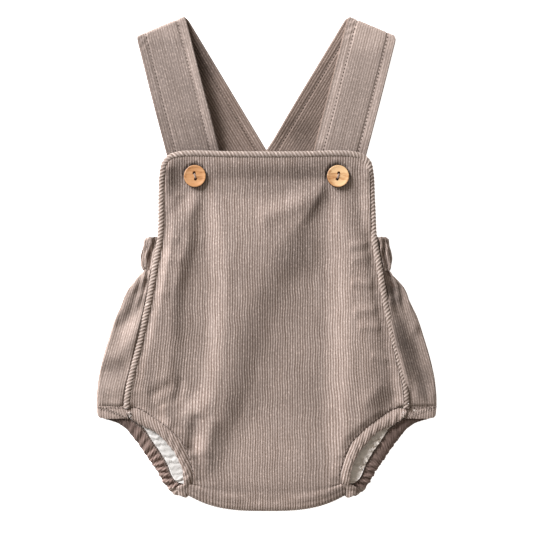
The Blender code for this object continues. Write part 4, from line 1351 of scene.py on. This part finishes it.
even = add_path(tree, given, given["Step"])
upright = add_node(tree, "GeometryNodeSetCurveNormal", {"Curve": even}, mode="Z_UP")
distance = add_node(tree, "GeometryNodeSplineParameter", out="Length")
tangent = add_node(tree, "GeometryNodeInputTangent")
heading = add_node(tree, "ShaderNodeSeparateXYZ", {0: tangent}, "Y")
path = store(store(upright, "along", distance), "upward", calculate(tree, "ABSOLUTE", heading))
ring = add_ring(tree, given["Sides"], given["Radius"])
ring = store(ring, "around", distance.node.outputs["Factor"])
flattened = add_node(tree, "GeometryNodeTransform", {"Geometry": ring, "Scale": PIPE_FLATTENED})
cord = sweep(tree, path, flattened)
along, around, upward = (
    add_node(tree, "GeometryNodeInputNamedAttribute", {"Name": name}, data_type="FLOAT")
    for name in ("along", "around", "upward"))
ribs_along = calculate(tree, "DIVIDE", along, given["Pitch"])
ribs = calculate(tree, "MULTIPLY_ADD", around, given["Starts"], ribs_along)
wave = calculate(tree, "COSINE", calculate(tree, "MULTIPLY", ribs, 2 * math.pi))
sunk = remap(tree, wave, -1.0, 0.5, -1.0, 0.0)
pulled_flat = remap(tree, upward, 0.0, 0.9, 0.3, 1.0)     # least relief along the bib's top edge
deep = calculate(tree, "MULTIPLY", pulled_flat, given["Depth"])
offset = scale_vector(tree, add_node(tree, "GeometryNodeInputNormal"),
                      calculate(tree, "MULTIPLY", sunk, deep))
shaped = add_node(tree, "GeometryNodeSetPosition", {"Geometry": cord, "Offset": offset})
across_ribs = calculate(tree, "MULTIPLY", ribs, WALE * MM)
flat = add_node(tree, "ShaderNodeCombineXYZ", {"X": across_ribs, "Y": along})
mapped = store(shaped, "cloth", flat, "FLOAT2", "CORNER")
# painted shade: the cord is painted darker where it runs across the garment, along the bib's top edge
painted_shading = store(mapped, "painted_light_and_patches", remap(tree, upward, 0.0, 0.9, -0.35, 0.0))
soft = add_node(tree, "GeometryNodeSetShadeSmooth", {"Geometry": painted_shading})
finish_tree(tree, given, result, soft)
piping_tree = tree

PIPE_LIFT = 0.9          # how far the piping stands out of its seam
side_y = spaced([PIPING["y"][0] - 2.2, CORNER_Y], 2.5)
corner_x = float(piping_half(CORNER_Y)) - CORNER_RADIUS
bend = np.radians(np.linspace(0, 90, 10))[1:]
corner = np.stack([corner_x + CORNER_RADIUS * np.cos(bend), CORNER_Y + CORNER_RADIUS * np.sin(bend),
                   np.full(len(bend), piping_height(CORNER_Y) + PIPE_LIFT)], -1)
right = np.stack([piping_half(side_y), side_y, piping_height(side_y) + PIPE_LIFT], -1)
right = np.concatenate([right, corner])
left = right * [-1, 1, 1]
left[:, 2] -= 1.3 * ramp(left[:, 1], 60, 30) * (1 - 0.6 * ramp(left[:, 1], -60, -90))
right[:, 0] += 0.8 * ramp(right[:, 1], 60, 30) * ramp(right[:, 1], -112, -100)
top = np.array([(x, BIB_TOP, right[-1, 2]) for x in np.linspace(-corner_x, corner_x, 40)[1:-1]])
piping_line = np.concatenate([left, top, right[::-1]])
piping_line[:, 1] -= bib_sag(piping_line[:, 0], piping_line[:, 1])
piping = grow("bias_cord_piping", [piping_line], piping_tree, Thread=PIPING_CORD)
settle(piping, "corduroy_piping", "piping")
print("piping cord:", round(np.linalg.norm(np.diff(piping_line, axis=0), axis=1).sum()), "mm long")

# %% [markdown]
# ## Where the threads run
#
# The straps are stitched along both edges, on both faces. The leg seams on the front show dark
# stitches in the ditch, the casing at the waist has two rows, and the inner edge of each back leg band
# is overlocked with paler thread.

# %% Stitch lines


def on_surface(surface, across, along, lift):
    """Points that lie `lift` above a surface."""
    return surface(across, along) + unit_normals(surface, across, along) * np.reshape(lift, (-1, 1))


def laid_on(line, lift, *pieces):
    """The line as it lies `lift` above the highest of the pieces below it."""
    graph = bpy.context.evaluated_depsgraph_get()
    surfaces = [BVHTree.FromObject(piece, graph) for piece in pieces]
    laid = np.array(line)
    for point in laid:
        above = (point[0] * MM, point[1] * MM, 0.05)
        hits = [surface.ray_cast(above, (0, 0, -1))[0] for surface in surfaces]
        point[2] = max((hit.z / MM for hit in hits if hit), default=point[2]) + lift
    return laid


STITCH_LIFT = -0.34
for hand, surface in strap_surfaces.items():
    lengths = np.arange(-FRONT_REACH + 6, STRAP_BACK_REACH - 4, 3.0)
    lines = []
    for inset in (STITCH_INSET - STRAP_WIDTH / 2, STRAP_WIDTH / 2 - STITCH_INSET):
        for lift in (STITCH_LIFT, -2.0 - STITCH_LIFT):
            lines.append(on_surface(surface, np.full(len(lengths), inset), lengths, lift))
    stitches = grow(f"strap_stitches_{hand}", lines, stitch_tree, Thread=TOPSTITCH, Length=1.7 * MM)
    settle(stitches, "corduroy")

for side, hand in HANDS:
    mirror = np.array([side, 1, 1])
    ditch = FRONT_LEG["seam_y"][1:-1]
    ditch_x, ditch_y = shifted(FRONT_LEG["seam_x"][1:-1], ditch, -0.5)
    fine = np.linspace(0, len(ditch) - 1, 60)
    ditch_x, ditch_y = (np.interp(fine, np.arange(len(ditch)), line) for line in (ditch_x, ditch_y))
    leg_line = np.stack([ditch_x, ditch_y, front_height(side * ditch_x, ditch_y)], -1) * mirror
    leg_line = laid_on(leg_line, 0.2, front, front_bands[hand])
    piece, place, length = back_bands[hand]
    hem_along = np.linspace(1, 0.2 * length, 20)
    hem_line = (place(np.full(20, 0.16), hem_along) + [0, 0, 0.1]) * mirror
    edge_along = np.linspace(0.24 * length, length - 3, 110)
    edge_line = laid_on(place(np.full(110, 0.12), edge_along) * mirror, 0.15, piece, lining)
    settle(grow(f"leg_stitches_{hand}", [leg_line, hem_line], stitch_tree, Thread=DITCH_THREAD), "corduroy")
    settle(grow(f"overlock_{hand}", [edge_line], overlock_tree, Thread=OVERLOCK), "corduroy")

waist_lines = []
for stitch_y in (FRILL_STITCH, CHANNEL_STITCH):
    for reach in (-1, 1):
        along_waist = np.linspace(0.62, 0.995, 60) * BACK_REACH * reach
        level = np.full(60, WAIST_TOP - stitch_y)
        sunk = -waist_drawn(along_waist, stitch_y) - 0.1
        waist_lines.append(on_surface(waist_surface, along_waist, level, sunk))
settle(grow("waist_stitches", waist_lines, stitch_tree, Thread=TOPSTITCH), "corduroy")

tack_end = np.array([[112.8, -111.2, 8.6], [111.0, -115.6, 8.2], [109.6, -118.8, 8.0], [108.4, -121.6, 7.4]])
tacks = [laid_on(tack_end * [side, 1, 1], 0.2, front, piping, back, front_bands[hand])
         for side, hand in HANDS]
settle(grow("bar_tacks", tacks, overlock_tree, Thread=TACK, Pitch=1.1 * MM, Width=2.6 * MM, Radius=0.3 * MM),
       "corduroy")

# %% [markdown]
# ## The buttons
#
# The buttons are slices of a pale hardwood with a shallow dish and two holes, cut out with a hot
# tool that burns the rim dark. They are a profile swept round an axis, and the holes are real, so
# their depth reads as black.

# %% Wood
BURNT_RIM = (8.5 * MM, 8.85 * MM)    # the wood is bare inside the first radius and burnt beyond the second


def make_wood(name, centre, grain_turn, stretch, tint):
    """Bare waxed hardwood: warm tan with darker growth lines, a low satin gloss, and a burnt rim."""
    material, tree, shader = new_material(name)
    place = add_node(tree, "ShaderNodeTexCoord", out="Object")
    local = add_node(tree, "ShaderNodeMapping", {"Vector": place, "Location": [-value for value in centre]})
    along_grain = {"Vector": local, "Rotation": (0, 0, grain_turn), "Scale": stretch}
    turned = add_node(tree, "ShaderNodeMapping", along_grain)
    growth, fine = add_noise(tree, turned, 1.0, 3.0, Distortion=0.6), add_noise(tree, turned, 5.0, 2.0)
    both = calculate(tree, "MULTIPLY_ADD", fine, 0.25, growth)
    grain = add_node(tree, "ShaderNodeValToRGB", {0: both})
    ramp = grain.node.color_ramp
    ramp.elements[0].position, ramp.elements[0].color = 0.42, linear("8f5f38")
    ramp.elements[1].position, ramp.elements[1].color = 0.72, linear(tint)
    ramp.elements.new(0.53).color = linear("b98454")
    flat = add_node(tree, "ShaderNodeVectorMath", {0: local, 1: (1, 1, 0)}, operation="MULTIPLY")
    radius = add_node(tree, "ShaderNodeVectorMath", {0: flat}, "Value", operation="LENGTH")
    colour = blend(tree, remap(tree, radius, *BURNT_RIM), grain, linear("2c1710"))
    finish_shader(tree, shader, colour, (0.25, 0.1, both), {"Roughness": 0.42})
    return material


# %% Buttons
BUTTON_PROFILE = table(
    "radius height",
    (0, 0), (8.3, 0), (8.8, 0.25), (9, 0.7), (9, 2.5), (8.9, 2.85), (8.65, 3.1), (8.3, 3.2), (7.8, 3.15),
    (7, 2.95), (5.8, 2.8), (2.6, 2.75), (0, 2.75),
)
HOLE_PROFILE = table("radius height", (0, -1), (1.25, -1), (1.25, 2.6), (1.4, 2.8), (1.4, 5), (0, 5))
HOLE_SPACING = 5.0
BUTTON_TURN = math.radians(14)
BUTTON_WOOD = {          # the turn of the grain, how fine it is along and across, and its lightest colour
    "left": (math.radians(-60), (80, 420, 420), "c39265"),
    "right": (math.radians(8), (55, 260, 260), "e2ba8a"),
}


def turned_mesh(name, profile, segments, centre):
    """A profile swept round the upright axis through `centre`, in millimetres."""
    angles = np.linspace(0, 2 * math.pi, segments, endpoint=False)
    radius, height = profile["radius"], profile["height"]
    points = np.stack([radius * np.cos(angles)[:, None], radius * np.sin(angles)[:, None],
                       np.broadcast_to(height, (segments, len(height)))], -1) + centre
    ring = np.arange(segments * len(radius)).reshape(segments, len(radius))
    after = np.roll(ring, -1, axis=0)
    faces = np.stack([ring[:, :-1], after[:, :-1], after[:, 1:], ring[:, 1:]], -1).reshape(-1, 4)
    return add_piece(name, points.reshape(-1, 3), faces, np.zeros((points.size // 3, 2)), (), sharp=50)


def add_button(side, hand):
    """One drilled wooden button. Gives its centre and how far its holes are turned."""
    low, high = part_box(f"button_{hand}")
    centre = np.array([(low.x + high.x) / 2, (low.y + high.y) / 2, low.z]) / MM
    turn = -side * BUTTON_TURN
    button = turned_mesh(f"wood_button_{hand}", BUTTON_PROFILE, 72, centre)
    wood = make_wood(f"turned_wood_{hand}", [value * MM for value in centre], *BUTTON_WOOD[hand])
    button.data.materials.append(wood)
    cutters = []
    for end in (-1, 1):
        away = end * HOLE_SPACING / 2
        place = centre + [-away * math.sin(turn), away * math.cos(turn), 0]
        cutters.append(turned_mesh(f"hole_{hand}", HOLE_PROFILE, 20, place))
        cut = button.modifiers.new("Hole", "BOOLEAN")
        cut.operation, cut.object = "DIFFERENCE", cutters[-1]
    drilled = evaluated_mesh(button)
    button.modifiers.clear()
    button.data = drilled
    for cutter in cutters:
        bpy.data.objects.remove(cutter)
    drilled.shade_smooth()
    drilled.set_sharp_from_angle(angle=math.radians(50))
    settle(button, "button_wood", f"button_{hand}")
    return centre, turn


button_places = {hand: add_button(side, hand) for side, hand in HANDS}

# %% Button thread
# A strand's way from hole to hole: its place between them, and its height.
BRIDGE = ((-0.8, 1.0), (-0.76, 2.4), (-0.6, 3.0), (0, 3.15), (0.6, 3.0), (0.76, 2.4), (0.8, 1.0))
for hand, (centre, turn) in button_places.items():
    hole = np.array([-math.sin(turn), math.cos(turn), 0]) * HOLE_SPACING / 2
    beside = np.array([math.cos(turn), math.sin(turn), 0])
    strands = [np.array([centre + beside * strand + hole * way + [0, 0, height] for way, height in BRIDGE])
               for strand in (-0.3, 0.3)]
    thread = grow(f"button_thread_{hand}", strands, overlock_tree, Thread=BUTTON_THREAD, Pitch=0.5 * MM,
                  Width=0.0, Radius=0.28 * MM)
    settle(thread, "corduroy")

# %% [markdown]
# ## The table
#
# The floor is a plain pale sheet that isn't part of the garment.

# %% Floor
floor_mesh = bpy.data.meshes.new("table_top")
work = bmesh.new()
bmesh.ops.create_grid(work, x_segments=1, y_segments=1, size=3.0)
work.to_mesh(floor_mesh)
work.free()
floor = add_object("table_top", floor_mesh)
floor.location.z = -0.0002
white, tree, shader = new_material("lit_white_acrylic")
shader.inputs["Base Color"].default_value = linear("fbfaf9")
shader.inputs["Roughness"].default_value = 0.8
shader.inputs["Emission Color"].default_value = linear("ffffff")
shader.inputs["Emission Strength"].default_value = 0.9
floor_mesh.materials.append(white)

# %% [markdown]
# ## What each piece was cut to
#
# Cloth doesn't stretch much, so the flat cut of each sheet bounds its folds and gathers. The widths and
# lengths below are those of what shows, without the turnings, and they are only printed.

# %% Cut sizes
UNDER_FRONT = ("back_bloomers", "seat_lining_muslin", "strap_cord_left", "strap_cord_right")
ON_FRONT = ("leg_stitches_left", "leg_stitches_right", "bar_tacks")
CUTS = {                 # width, length and area in millimetres, how held, what it lies on, what it carries
    "front_bib_and_bloomers": (215, 297, 49200, "laid", UNDER_FRONT, ON_FRONT),
    "back_bloomers": (326, 184, 48200, "laid", (), ()),
    "waist_casing_and_frill": (326, 27, 8800, "gathered", (), ("waist_stitches",)),
    "seat_lining_muslin": (248, 98, 18700, "laid", ("back_bloomers",), ()),
    "strap_cord_left": (42, 349, 14650, "folded", ("back_bloomers", "waist_casing_and_frill"),
                        ("strap_stitches_left",)),
    "strap_cord_right": (42, 349, 14650, "folded", ("strap_cord_left", "waist_casing_and_frill"),
                         ("strap_stitches_right",)),
    "front_leg_band_left": (12, 100, 1200, "gathered", ("seat_lining_muslin",), ()),
    "front_leg_band_right": (12, 100, 1200, "gathered", ("seat_lining_muslin",), ()),
    "back_leg_band_left": (12, 150, 1800, "gathered", (), ("overlock_left",)),
    "back_leg_band_right": (12, 150, 1800, "gathered", (), ("overlock_right",)),
}
for name, (wide, long, area, held, under, sewn) in CUTS.items():
    print(f"{name}: cut {wide} x {long} mm, {area / 100:.0f} square cm, {held}")
